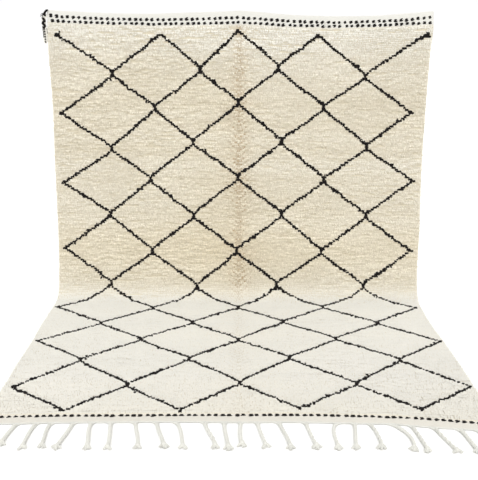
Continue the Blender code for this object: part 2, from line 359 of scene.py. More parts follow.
# --------------------------------------------------------------- mesh helpers
class Stock:
    """Many closed little shapes, gathered into one mesh."""

    def __init__(self):
        self.points, self.faces, self.places, self.marks = [], [], [], {}
        self.count = 0

    def add(self, points, faces, places, **marks):
        """places is u, v for each corner of each face; marks are per point."""
        points = np.asarray(points, float).reshape(-1, 3)
        self.points.append(points)
        self.faces.append(np.asarray(faces, int) + self.count)
        self.places.append(np.asarray(places, float).reshape(-1, 2))
        for name, value in marks.items():
            value = np.asarray(value, float)
            wide = 3 if value.ndim and value.shape[-1] == 3 and value.ndim > 1 else 1
            full = np.broadcast_to(value, (len(points), 3) if wide == 3 else (len(points),))
            self.marks.setdefault(name, []).append(np.array(full))
        self.count += len(points)

    def object(self, name, mat, slot=None, facing=None, soft=None):
        points = np.concatenate(self.points)
        faces = np.concatenate(self.faces)
        places = np.concatenate(self.places)
        a, b, c = (points[faces[:, k]] for k in range(3))
        if np.einsum("ij,ij->", a, np.cross(b, c)) < 0.0:
            faces = faces[:, ::-1]
            places = places.reshape(-1, 3, 2)[:, ::-1].reshape(-1, 2)
        mesh = bpy.data.meshes.new(name)
        mesh.vertices.add(len(points))
        mesh.vertices.foreach_set("co", points.astype(np.float32).ravel())
        mesh.loops.add(faces.size)
        mesh.loops.foreach_set("vertex_index", faces.astype(np.int32).ravel())
        mesh.polygons.add(len(faces))
        mesh.polygons.foreach_set("loop_start", np.arange(0, faces.size, 3, dtype=np.int32))
        mesh.update(calc_edges=True)
        mesh.shade_smooth()
        if facing is not None:
            a, b, c = (points[faces[:, k]] for k in range(3))
            across = np.cross(b - a, c - a)
            own = np.zeros_like(points)
            for k in range(3):
                for m in range(3):
                    own[:, m] += np.bincount(faces[:, k], across[:, m], len(points))
            own /= np.maximum(np.linalg.norm(own, axis=1), 1e-12)[:, None]
            if soft is None:
                soft = SOFT + (SOFT_LYING - SOFT) * smooth(facing[:, 2:3] * 1.4 - 0.4)
            mixed = (1.0 - soft) * own + soft * facing
            mixed /= np.linalg.norm(mixed, axis=1)[:, None]
            mesh.normals_split_custom_set_from_vertices(mixed.astype(np.float32))
        for key, parts in self.marks.items():
            values = np.concatenate(parts)
            kind, field = ("FLOAT_VECTOR", "vector") if values.ndim == 2 else ("FLOAT", "value")
            layer = mesh.attributes.new(key, kind, "POINT")
            layer.data.foreach_set(field, values.astype(np.float32).ravel())
        uv = mesh.uv_layers.new(name="OFBake")
        uv.data.foreach_set("uv", places.astype(np.float32).ravel())
        mesh.materials.append(mat)
        ob = bpy.data.objects.new(name, mesh)
        bpy.context.scene.collection.objects.link(ob)
        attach(ob, "root")
        print("piece", name, len(faces), "triangles")
        return ob


def sweep(path, radius, sides, up, flat=1.0, cell=(0.0, 0.0, 1.0, 1.0), spin=0.0):
    """A closed tube along a path: points, faces, corner places, share along."""
    path = np.asarray(path, float)
    n = len(path)
    radius = np.broadcast_to(np.asarray(radius, float), (n,))
    ahead = np.gradient(path, axis=0)
    ahead /= np.linalg.norm(ahead, axis=1)[:, None]
    side = np.cross(ahead, np.broadcast_to(np.asarray(up, float), path.shape))
    side /= np.linalg.norm(side, axis=1)[:, None]
    top = np.cross(side, ahead)
    turn = 2.0 * pi * np.arange(sides) / sides + spin
    ring = (np.cos(turn)[None, :, None] * side[:, None]
            + flat * np.sin(turn)[None, :, None] * top[:, None])
    points = path[:, None] + radius[:, None, None] * ring
    points = np.concatenate([points.reshape(-1, 3), path[:1], path[-1:]])
    i, j = np.meshgrid(np.arange(n - 1), np.arange(sides), indexing="ij")
    i, j = i.ravel(), j.ravel()
    k = (j + 1) % sides
    a, b, c, d = i * sides + j, i * sides + k, (i + 1) * sides + k, (i + 1) * sides + j
    faces = np.concatenate([
        np.stack([a, b, c], 1), np.stack([a, c, d], 1),
        np.stack([np.full(sides, n * sides), (np.arange(sides) + 1) % sides, np.arange(sides)], 1),
        np.stack([np.full(sides, n * sides + 1), (n - 1) * sides + np.arange(sides),
                  (n - 1) * sides + (np.arange(sides) + 1) % sides], 1),
    ])
    u0, v0, du, dv = cell
    low, high = i / (n - 1.0), (i + 1) / (n - 1.0)
    l, r = j / sides, (j + 1) / sides
    low, high, l, r = 0.06 + 0.88 * low, 0.06 + 0.88 * high, 0.06 + 0.88 * l, 0.06 + 0.88 * r

    def corner(u, v):
        return np.stack([u0 + du * u, v0 + dv * v], 1)

    q = np.arange(sides) / sides
    q2 = (np.arange(sides) + 1) / sides
    q, q2 = 0.06 + 0.88 * q, 0.06 + 0.88 * q2
    zero, one = np.full(sides, 0.02), np.full(sides, 0.98)
    places = np.concatenate([
        np.stack([corner(l, low), corner(r, low), corner(r, high)], 1),
        np.stack([corner(l, low), corner(r, high), corner(l, high)], 1),
        np.stack([corner((q + q2) / 2, zero), corner(q2, zero + 0.04), corner(q, zero + 0.04)], 1),
        np.stack([corner((q + q2) / 2, one), corner(q, one - 0.04), corner(q2, one - 0.04)], 1),
    ])
    along = np.concatenate([np.repeat(np.linspace(0.0, 1.0, n), sides), [0.0, 1.0]])
    return points, faces, places, along


def blurred(rng, shape, down, across, level=None):
    """Even noise on a grid, smoothed over so many rows and columns.

    With level, swings wider than that many rows are taken out of it.
    """
    noise = rng.normal(size=shape)
    fy = np.fft.fftfreq(shape[0])[:, None]
    fx = np.fft.rfftfreq(shape[1])[None, :]
    keep = np.exp(-2.0 * pi ** 2 * ((fy * down) ** 2 + (fx * across) ** 2))
    if level:
        keep = keep * (1.0 - np.exp(-2.0 * pi ** 2 * (fy * level) ** 2))
    noise = np.fft.irfft2(np.fft.rfft2(noise) * keep, s=shape)
    return (noise - noise.mean()) / noise.std()


# ------------------------------------------------------------------ materials
def shader_of(name):
    mat = bpy.data.materials.new(name)
    mat.use_nodes = True
    return mat, mat.node_tree, mat.node_tree.nodes["Principled BSDF"]


def add(tree, kind, settings=None, **inputs):
    node = tree.nodes.new(kind)
    for key, value in (settings or {}).items():
        setattr(node, key, value)
    for key, value in inputs.items():
        socket = node.inputs[int(key[1:])] if key[0] == "i" and key[1:].isdigit() else node.inputs[key]
        if isinstance(value, bpy.types.NodeSocket):
            tree.links.new(value, socket)
        else:
            socket.default_value = value
    return node


def maths(tree, operation, a, b=0.0, c=None):
    node = add(tree, "ShaderNodeMath", {"operation": operation}, i0=a, i1=b)
    if c is not None:
        if isinstance(c, bpy.types.NodeSocket):
            tree.links.new(c, node.inputs[2])
        else:
            node.inputs[2].default_value = c
    return node.outputs[0]


def blend_colour(tree, share, a, b, mode="MIX"):
    node = tree.nodes.new("ShaderNodeMix")
    node.data_type = "RGBA"
    node.blend_type = mode
    for socket, value in ((node.inputs[0], share), (node.inputs[6], a), (node.inputs[7], b)):
        if isinstance(value, bpy.types.NodeSocket):
            tree.links.new(value, socket)
        elif socket.type == "RGBA":
            socket.default_value = (*value, 1.0)
        else:
            socket.default_value = value
    return node.outputs[2]


def times(tree, colour, factor):
    node = add(tree, "ShaderNodeVectorMath", {"operation": "SCALE"})
    tree.links.new(colour, node.inputs[0])
    if isinstance(factor, bpy.types.NodeSocket):
        tree.links.new(factor, node.inputs["Scale"])
    else:
        node.inputs["Scale"].default_value = factor
    return node.outputs[0]


def mark_of(tree, name, output="Fac"):
    return add(tree, "ShaderNodeAttribute", {"attribute_name": name}).outputs[output]


def noise(tree, where, scale, stretch=(1.0, 1.0, 1.0), detail=2.0, rough=0.6):
    mapped = add(tree, "ShaderNodeVectorMath", {"operation": "MULTIPLY"})
    tree.links.new(where, mapped.inputs[0])
    mapped.inputs[1].default_value = stretch
    node = add(tree, "ShaderNodeTexNoise", {}, Scale=scale, Detail=detail, Roughness=rough)
    tree.links.new(mapped.outputs[0], node.inputs["Vector"])
    return node.outputs["Fac"]


def finish(tree, shader, colour, height, strength, distance, rough, sheen=0.35, sheen_rough=0.45):
    tree.links.new(colour, shader.inputs["Base Color"])
    if isinstance(rough, bpy.types.NodeSocket):
        tree.links.new(rough, shader.inputs["Roughness"])
    else:
        shader.inputs["Roughness"].default_value = rough
    bump = add(tree, "ShaderNodeBump", {}, Strength=strength, Distance=distance)
    tree.links.new(height, bump.inputs["Height"])
    tree.links.new(bump.outputs[0], shader.inputs["Normal"])
    shader.inputs["Specular IOR Level"].default_value = 0.25
    shader.inputs["Sheen Weight"].default_value = sheen
    shader.inputs["Sheen Roughness"].default_value = sheen_rough


IVORY = (0.800, 0.780, 0.722)
# painted shade deep in the pile, towards the tufts' roots
IVORY_ROOT_SHADE = (0.690, 0.630, 0.505)
# a tan: random abrash, and painted shade on the hanging part
IVORY_TAN_AND_SHADE = (0.757, 0.668, 0.492)
# painted shade in the parted pile by the fold
CREASE_SHADE_BROWN = (0.430, 0.320, 0.195)
BAND_WHITE = (0.708, 0.702, 0.672)
BAND_CREAM = (0.690, 0.662, 0.605)
BLACK = (0.0060, 0.0050, 0.0052)
BLACK_TIP = (0.0105, 0.0082, 0.0080)


def pile_wool():
    """Ivory tufts, with painted shade: darker towards the knot, browner in the troughs of the pile and where it is
    parted by the fold.
    """
    mat, tree, shader = shader_of("ivory_wool")
    rise, tone = mark_of(tree, "rise"), mark_of(tree, "tone")
    warm_and_shade, crease_shade = mark_of(tree, "warm_and_shade"), mark_of(tree, "crease_shade")
    where = mark_of(tree, "cloth", "Vector")
    fibre = noise(tree, where, 1.0, (900.0, 160.0, 300.0), 2.0)
    # towards tan: random abrash, and painted shade on the hanging part
    base = blend_colour(tree, warm_and_shade, IVORY, IVORY_TAN_AND_SHADE)
    # painted shade by the fold, in brown
    base = blend_colour(tree, crease_shade, base, CREASE_SHADE_BROWN)
    # painted shade: each tuft darker towards its root
    deep = blend_colour(tree, 0.5, base, IVORY_ROOT_SHADE)
    share = maths(tree, "SMOOTH_MAX", maths(tree, "MULTIPLY", rise, 1.6), 0.0, 0.05)
    share = add(tree, "ShaderNodeClamp", {}, i0=share).outputs[0]
    colour = blend_colour(tree, share, deep, base)
    wander = maths(tree, "MULTIPLY_ADD", fibre, 0.10, 0.95)
    colour = times(tree, colour, maths(tree, "MULTIPLY", tone, wander))
    rough = maths(tree, "MULTIPLY_ADD", fibre, 0.14, 0.84)
    finish(tree, shader, colour, fibre, 0.35, 0.0006, rough)
    return mat


def black_wool():
    mat, tree, shader = shader_of("black_wool")
    rise, tone = mark_of(tree, "rise"), mark_of(tree, "tone")
    where = mark_of(tree, "cloth", "Vector")
    fibre = noise(tree, where, 1.0, (900.0, 160.0, 300.0), 2.0)
    colour = blend_colour(tree, rise, BLACK, BLACK_TIP)
    wander = maths(tree, "MULTIPLY_ADD", fibre, 0.5, 0.75)
    colour = times(tree, colour, maths(tree, "MULTIPLY", tone, wander))
    rough = maths(tree, "MULTIPLY_ADD", fibre, 0.14, 0.80)
    finish(tree, shader, colour, fibre, 0.35, 0.0006, rough, sheen=0.03)
    return mat


def woven_ground():
    """Flat-woven ends, the ground under the pile and the knotted back, with painted shade on the ground's face and
    along the fold.
    """
    mat, tree, shader = shader_of("woven_ground")
    where = mark_of(tree, "cloth", "Vector")
    band, back, front = mark_of(tree, "band"), mark_of(tree, "back"), mark_of(tree, "front")
    parting = mark_of(tree, "parting")
    parts = add(tree, "ShaderNodeSeparateXYZ")
    tree.links.new(where, parts.inputs[0])
    x, s = parts.outputs[0], parts.outputs[1]
    # plain weave of the ends: beaten-down weft over thick warps
    weft = maths(tree, "SINE", maths(tree, "MULTIPLY", s, 2.0 * pi / 0.0036))
    warp = maths(tree, "SINE", maths(tree, "MULTIPLY", x, 2.0 * pi / 0.0072))
    weave = maths(tree, "MULTIPLY_ADD", maths(tree, "MULTIPLY", weft, warp), 0.5, 0.5)
    # the back: a ridge for each row of knots, and two bumps for each knot
    ridge = maths(tree, "SINE", maths(tree, "MULTIPLY", s, 2.0 * pi / ROW))
    bumps = maths(tree, "SINE", maths(tree, "MULTIPLY", x, 2.0 * pi / 0.0050))
    knots = maths(tree, "MULTIPLY_ADD", maths(tree, "MULTIPLY_ADD", bumps, 0.3, ridge), 0.38, 0.5)
    uneven = noise(tree, where, 1.0, (40.0, 160.0, 1.0), 3.0)
    yarn = noise(tree, where, 1.0, (220.0, 900.0, 1.0), 2.0)
    height = add(tree, "ShaderNodeMix", {"data_type": "FLOAT"})
    tree.links.new(back, height.inputs[0])
    tree.links.new(weave, height.inputs[2])
    tree.links.new(knots, height.inputs[3])
    height = maths(tree, "MULTIPLY_ADD", uneven, 0.5, height.outputs[0])
    # painted shade: the face of the ground under the pile a darker ivory, for the shade between the tufts; the
    # knotted back in its own ivory
    ground = blend_colour(tree, back, (0.690, 0.630, 0.505), (0.700, 0.645, 0.530))
    # painted shade along the fold where the pile is parted
    ground = blend_colour(tree, parting, ground, (0.340, 0.250, 0.160))
    ends = blend_colour(tree, front, BAND_WHITE, BAND_CREAM)
    colour = blend_colour(tree, band, ground, ends)
    shade = maths(tree, "MULTIPLY_ADD", height, 0.10, 0.90)
    shade = maths(tree, "MULTIPLY", shade, maths(tree, "MULTIPLY_ADD", yarn, 0.08, 0.97))
    colour = times(tree, colour, shade)
    rough = maths(tree, "MULTIPLY_ADD", yarn, 0.12, 0.84)
    finish(tree, shader, colour, height, 0.55, 0.0011, rough, sheen=0.2)
    return mat


def cord_wool(name, light, dark):
    """Plied yarn: fine fibres along the strand, soiled a little towards dark."""
    mat, tree, shader = shader_of(name)
    tone = mark_of(tree, "tone")
    where = mark_of(tree, "cloth", "Vector")
    fibre = noise(tree, where, 1.0, (14.0, 420.0, 1.0), 3.0)
    patch = noise(tree, where, 1.0, (2.0, 30.0, 1.0), 2.0)
    colour = blend_colour(tree, patch, light, dark)
    colour = times(tree, colour, maths(tree, "MULTIPLY", tone, maths(tree, "MULTIPLY_ADD", fibre, 0.16, 0.92)))
    rough = maths(tree, "MULTIPLY_ADD", fibre, 0.14, 0.82)
    finish(tree, shader, colour, fibre, 0.5, 0.0008, rough)
    return mat


WOOL = pile_wool()
BLACK_WOOL = black_wool()
GROUND = woven_ground()
WARP = cord_wool("ivory_warp", (0.708, 0.709, 0.678), (0.648, 0.641, 0.594))
PLAIT = cord_wool("plaited_yarn", (0.800, 0.788, 0.745), (0.750, 0.730, 0.675))

# ------------------------------------------------------------- woven ground


def make_ground():
    """The cloth under the pile: one closed sheet with thick side cords."""
    t = np.concatenate([
        [0.0, 0.0015, 0.005, 0.010],
        np.arange(0.016, TOP_BAND + 0.010, 0.006),
        np.arange(TOP_BAND + 0.016, HANG, 0.0165),
        np.arange(HANG, HANG + BEND, 0.009),
        np.arange(HANG + BEND, FRONT - FRONT_BAND - 0.02, 0.0165),
        np.arange(FRONT - FRONT_BAND - 0.012, FRONT - 0.012, 0.006),
        [FRONT - 0.008, FRONT - 0.004, FRONT - 0.0012, FRONT],
    ])
    near = np.array([0.0, 0.0012, 0.0035, 0.0065, 0.0095, 0.0125, 0.0180])
    left, right = column(SIDE_EDGES, 1, t), column(SIDE_EDGES, 2, t)
    inner = np.linspace(0.0, 1.0, 124)[1:-1]
    wide = right - left
    x = np.concatenate([
        left[:, None] + near[None, :],
        left[:, None] + 0.0180 + (wide[:, None] - 0.0360) * inner[None, :],
        right[:, None] - near[None, ::-1],
    ], axis=1)
    s = rows_at(t[:, None], x)
    inset = np.minimum(x - left[:, None], right[:, None] - x)
    # the side cord stands proud, rounded off at the edge
    deep = BED * thickness(x, s, left[:, None], right[:, None])
    face = np.maximum(GROUND_H, deep)
    face = np.maximum(face, GROUND_H + 0.0030 * np.exp(-((inset - 0.0056) / 0.0044) ** 2))
    back = np.full_like(x, BACK_H)
    round_off = np.sqrt(np.clip(1.0 - (1.0 - np.clip(inset / 0.0065, 0.0, 1.0)) ** 2, 0.0, 1.0))
    ends = np.minimum(t, FRONT - t)[:, None]
    round_end = np.sqrt(np.clip(1.0 - (1.0 - np.clip(ends / 0.005, 0.0, 1.0)) ** 2, 0.0, 1.0))
    middle = 0.5 * (face + back) + 0.0004
    keep = 0.16 + 0.84 * np.minimum(round_off, round_end)
    face = middle + (face - middle) * keep
    back = middle + (back - middle) * keep
    # slight unevenness of the flat-woven ends
    start = column(TOP_EDGE, 1, x)
    in_top = 1.0 - smooth((s - start - column(TOP_MARKS, 2, x) - 0.008) / 0.008)
    in_front = smooth((s - column(FRONT_MARKS, 1, x) + 0.010) / 0.008)
    band = np.clip(in_top + in_front, 0.0, 1.0)
    ripple = 0.0007 * (np.sin(x * 61.0 + 3.0 * np.sin(x * 17.0)) + np.sin(x * 149.0 + s * 90.0))
    face = face + band * ripple * smooth(inset / 0.02)

    rows, cols = x.shape
    above, below = cloth(x, s, face), cloth(x, s, back)
    points = np.concatenate([above.reshape(-1, 3), below.reshape(-1, 3)])
    n = rows * cols
    i, j = np.meshgrid(np.arange(rows - 1), np.arange(cols - 1), indexing="ij")
    i, j = i.ravel(), j.ravel()
    a, b, c, d = i * cols + j, i * cols + j + 1, (i + 1) * cols + j + 1, (i + 1) * cols + j
    u = (x - left[:, None]) / wide[:, None]
    v = np.broadcast_to((t / FRONT)[:, None], x.shape)
    face_uv = np.stack([0.01 + 0.47 * u, 0.02 + 0.96 * v], -1).reshape(-1, 2)
    back_uv = np.stack([0.52 + 0.47 * u, 0.02 + 0.96 * v], -1).reshape(-1, 2)
    where = np.concatenate([face_uv, back_uv])
    quads = [np.stack([a, b, c, d], 1), np.stack([a, d, c, b], 1) + n]
    k = np.arange(rows - 1)
    quads.append(np.stack([k * cols, (k + 1) * cols, (k + 1) * cols + n, k * cols + n], 1))
    e = k * cols + cols - 1
    quads.append(np.stack([e, e + n, e + cols + n, e + cols], 1))
    k = np.arange(cols - 1)
    quads.append(np.stack([k, k + n, k + 1 + n, k + 1], 1))
    e = (rows - 1) * cols + k
    quads.append(np.stack([e, e + 1, e + 1 + n, e + n], 1))
    quads = np.concatenate(quads)
    faces = np.concatenate([quads[:, [0, 1, 2]], quads[:, [0, 2, 3]]])
    places = where[faces]
    # the rims lie in thin strips of their own
    flat = len(quads) - 2 * (rows - 1) - 2 * (cols - 1)
    rim = np.zeros(len(quads), bool)
    rim[flat:] = True
    rim = np.concatenate([rim, rim])
    strip = np.where(faces < n, 0.492, 0.508)[..., None]
    side_rim = np.concatenate([strip, where[faces][..., 1:]], -1)
    places = np.where(rim[:, None, None], side_rim, places)
    stock = Stock()
    stock.add(
        points, faces, places,
        cloth=np.concatenate([
            np.stack([x, s, face], -1).reshape(-1, 3),
            np.stack([x, s, back], -1).reshape(-1, 3)]),
        band=np.concatenate([band.ravel(), (band * 0.7).ravel()]),
        back=np.concatenate([np.zeros(n), 1.0 - band.ravel()]),
        front=np.tile((s > 1.4).ravel() * 1.0, 2),
        # painted shade along the fold in the face of the ground, fainter where the cloth lies
        parting=np.concatenate([
            (0.6 * np.exp(-((x - CREASE_X) / 0.022) ** 2) * (1.0 - 0.7 * smooth((s - HANG) / BEND))).ravel(),
            np.zeros(n)]),
    )
    return stock.object("rug_ground", GROUND, "ivory_wool")


# ----------------------------------------------------------------- the knots
rng = np.random.default_rng(20)
T = np.arange(TOP_BAND - 0.010, FRONT - FRONT_BAND + 0.014, ROW)
LEFT, RIGHT = column(SIDE_EDGES, 1, T), column(SIDE_EDGES, 2, T)
SHAPE = (len(T), KNOTS)
stagger = np.where(np.arange(len(T)) % 2 == 0, 0.25, -0.25)[:, None]
share = (np.arange(KNOTS)[None, :] + 0.5 + stagger + rng.uniform(-0.22, 0.22, SHAPE)) / KNOTS
X = LEFT[:, None] + 0.0050 + (RIGHT - LEFT - 0.0100)[:, None] * share
S = rows_at(T[:, None], X) + rng.normal(0.0, 0.0008, SHAPE)
lying_rows = smooth((T[:, None] - HANG) / BEND)
S = S + 0.0025 * (1.0 - 0.7 * lying_rows) * smooth((T[:, None] - TOP_BAND) / 0.05) * smooth(
    (FRONT - FRONT_BAND - T[:, None]) / 0.05) * blurred(rng, SHAPE, 1.8, 6)
SHOWN = S + TIP_SHIFT
PRESENT = (S + TUFT_LAY < column(FRONT_MARKS, 1, X) - 0.003) & (
    S > column(TOP_EDGE, 1, X) + column(TOP_MARKS, 2, X) + 0.0055)
STREAK = (0.90 * blurred(rng, SHAPE, 0.45, 2.2, 0.9) + 0.60 * blurred(rng, SHAPE, 0.50, 5.0, 1.0)
          + 0.26 * blurred(rng, SHAPE, 2.0, 11))
STREAK /= STREAK.std()
STREAK = -(np.exp(-0.55 * STREAK) - 1.0)
STREAK = (STREAK - STREAK.mean()) / STREAK.std()
STREAK *= np.clip(1.0 + 0.28 * blurred(rng, SHAPE, 8, 28), 0.5, 1.6)
STREAK *= 1.0 - 0.55 * smooth((T[:, None] - HANG + 0.06) / 0.10) * (1.0 - smooth((T[:, None] - HANG - BEND) / 0.1))
ABRASH = 0.6 * blurred(rng, SHAPE, 3, 150) + 0.5 * blurred(rng, SHAPE, 9, 60)
PATCHES = blurred(rng, SHAPE, 7, 12)


def lattice_mask():
    """Which knots are tied with black wool, worked row by row as it is knotted."""
    chance = np.random.default_rng(41)
    black = np.zeros(SHAPE, bool)
    level = SHOWN.mean(axis=1)

    def line(p, q, start_cut, end_cut):
        (x0, s0), (x1, s1) = p, q
        s0, s1 = s0 + start_cut, s1 - end_cut
        drift, swell, before = 0.0, 1.0, None
        for r in range(len(T)):
            if level[r] < s0 - 0.05 or level[r] > s1 + 0.05:
                continue
            drift = 0.60 * drift + chance.normal(0.0, 0.0026)
            if swell == 1.0 and chance.random() < 0.20:
                swell = chance.choice([1.75, 1.55, 1.40, 0.76, 0.70])
            elif swell != 1.0 and chance.random() < 0.65:
                swell = 1.0
            half = LINE_HALF * swell * chance.uniform(0.76, 1.28)
            lap = 0.0020
            if T[r] > HANG:
                half *= chance.uniform(0.58, 1.14)
                # here and there a chink of ivory shows between two dashes
                lap = -0.0024 if chance.random() < 0.78 else -0.0062
            # the last points, against the front band, are drawn out fine
            if s1 > 2.60:
                half *= 1.0 - 0.45 * smooth((level[r] - s1 + 0.035) / 0.030)
            sv = SHOWN[r]
            along = np.clip((sv - s0) / (s1 - s0), 0.0, 1.0)
            middle = x0 + (x1 - x0) * along + drift * np.sin(pi * along) + chance.normal(0.0, 0.0016)
            near = (np.abs(X[r] - middle) < half) & (sv > s0 - ROW * 0.5) & (sv < s1 + ROW * 0.5)
            if not near.any():
                continue
            # each dash starts about where the one above it ends
            low, high = X[r][near].min(), X[r][near].max()
            if before is not None:
                low, high = min(low, before[1] - lap), max(high, before[0] + lap)
            before = X[r][near].min(), X[r][near].max()
            black[r] |= (X[r] >= low) & (X[r] <= high)
            if chance.random() < (0.22 if T[r] > HANG else 0.10):
                beside = r + chance.choice([-1, 1])
                at = (low + high) / 2.0 + chance.normal(0.0, 0.004)
                black[beside] |= np.abs(X[beside] - at) < 0.0045

    for k in range(len(LATTICE) - 1):
        upper, lower = LATTICE[k], LATTICE[k + 1]
        for a, p in enumerate(upper):
            ends = (a - 1, a) if len(upper) == 5 else (a, a + 1)
            for b in ends:
                if not 0 <= b < len(lower):
                    continue
                inner_p = k > 0 and not (len(upper) == 5 and a in (0, 4))
                inner_q = k + 1 < len(LATTICE) - 1 and not (len(lower) == 5 and b in (0, 4))
                line(p, lower[b], STEM_HALF if inner_p else 0.0, STEM_HALF if inner_q else 0.0)
    for k in range(1, len(LATTICE) - 1):
        for a, (x0, s0) in enumerate(LATTICE[k]):
            if len(LATTICE[k]) == 5 and a in (0, 4):
                tail, reach = (0.004, 0.009) if s0 < HANG else (-0.002, 0.006)
                tail = tail if a == 0 else -tail
                black |= (np.abs(SHOWN - s0) < 0.0058) & (np.abs(X - x0 + tail) < reach)
            else:
                black |= (np.abs(X - x0) < 0.0070) & (np.abs(SHOWN - s0) < STEM_HALF + 0.005)
    for x0, s0 in LATTICE[-1]:
        black |= (np.abs(X - x0) < 0.0045) & (SHOWN > s0) & (SHOWN < s0 + 1.3 * ROW)
    # a small star at the top left end, a filled arrow head at the top right
    dx, ds = X - LATTICE[0][0][0], SHOWN - LATTICE[0][0][1]
    black |= (np.abs(np.abs(dx) - np.abs(ds)) < 0.0080) & (np.abs(dx) < 0.016) & (np.abs(ds) < 0.014)
    black |= (np.abs(dx) < 0.012) & (np.abs(ds) < 0.011)
    dx, ds = X - 1.004, SHOWN - 0.106
    black |= (ds > 0.0) & (ds < 0.028) & (np.abs(dx + 0.002) < 0.006 + 0.62 * ds)
    return black & PRESENT


BLACK_KNOTS = lattice_mask()


def beside_black():
    """Ivory knots next to black ones: the black wool stands a little over them."""
    grown = BLACK_KNOTS.copy()
    for down in (-1, 0, 1):
        for across in (-2, -1, 0, 1, 2):
            grown |= np.roll(np.roll(BLACK_KNOTS, down, 0), across, 1)
    return grown & ~BLACK_KNOTS


BESIDE = beside_black()


def tuft_arrays(pick, chance, dark):
    """The tufts of the picked knots: root, three points round the belly, tip."""
    x, s, streak = X[pick], S[pick], STREAK[pick]
    left = np.broadcast_to(LEFT[:, None], SHAPE)[pick]
    right = np.broadcast_to(RIGHT[:, None], SHAPE)[pick]
    n = len(x)
    lying = smooth((s - HANG) / BEND)
    parted = np.exp(-((x - CREASE_X) / 0.034) ** 2) * (1.0 - 0.55 * lying)
    loose = 0.25 if dark else 1.0
    turn = chance.normal(0.0, 0.24, n) * (1.0 - 0.4 * lying) + 0.10 * streak
    turn = turn + loose * np.tanh((x - CREASE_X) / 0.012) * parted * chance.uniform(0.0, 0.95, n)
    inset_l, inset_r = x - left, right - x
    turn = turn - 0.5 * np.exp(-inset_l / 0.010) + 0.5 * np.exp(-inset_r / 0.010)
    lay = TUFT_LAY * (1.0 + (0.20 - 0.12 * lying) * streak + chance.normal(0.0, 0.11, n) * (1.0 - 0.5 * lying))
    lay = np.clip(lay, 0.005, 0.0160)
    # the last row before the front marks bends over and down to meet them
    left_over = column(FRONT_MARKS, 1, x) - 0.0055 - s
    last = left_over < TUFT_LAY + ROW - 0.0025
    lay = np.where(last, np.clip(left_over, 0.007, 0.021), lay)
    room = thickness(x, s + 0.5 * lay, left, right)
    if dark:
        share_of = np.clip(0.960 + chance.normal(0.0, 0.018, n) - 0.06 * parted, 0.85, 0.99)
    else:
        share_of = 0.885 + chance.normal(0.0, 0.040, n) * (1.0 - 0.5 * lying) - 0.12 * parted
        share_of = share_of + (0.050 - 0.030 * lying) * streak - 0.055 * BESIDE[pick]
        share_of = np.clip(share_of, 0.60, 0.99)
    tall = room * share_of
    wide = TUFT_W * chance.uniform(0.80, 1.22, n) * (1.12 if dark else 1.0)
    lx, ls = np.sin(turn), np.cos(turn)
    root_h = tall * 0.48
    belly = 0.46 * lay
    drop = np.minimum(0.0050, 0.30 * tall) * chance.uniform(0.7, 1.2, n)
    dx = np.stack([0 * lx, belly * lx - ls * wide / 2, belly * lx - 0.10 * lay * lx,
                   belly * lx + ls * wide / 2, lay * lx], 1)
    ds = np.stack([0 * ls, belly * ls + lx * wide / 2, belly * ls - 0.10 * lay * ls,
                   belly * ls - lx * wide / 2, lay * ls], 1)
    tip_h = np.where(last, GROUND_H + 0.0014, tall - drop)
    h = np.stack([root_h, tall - 0.0030, tall, tall - 0.0030, tip_h], 1)
    h = np.maximum(h, 0.0022)
    return x[:, None] + dx, s[:, None] + ds, h, x, s, streak, parted


TUFT_FACES = np.array([(0, 2, 1), (0, 3, 2), (0, 1, 3), (4, 1, 2), (4, 2, 3), (4, 3, 1)])
TUFT_RISE = np.array([0.0, 0.62, 0.80, 0.62, 1.0])
TUFT_SIDE = np.array([0.5, 0.08, 0.5, 0.92, 0.5])


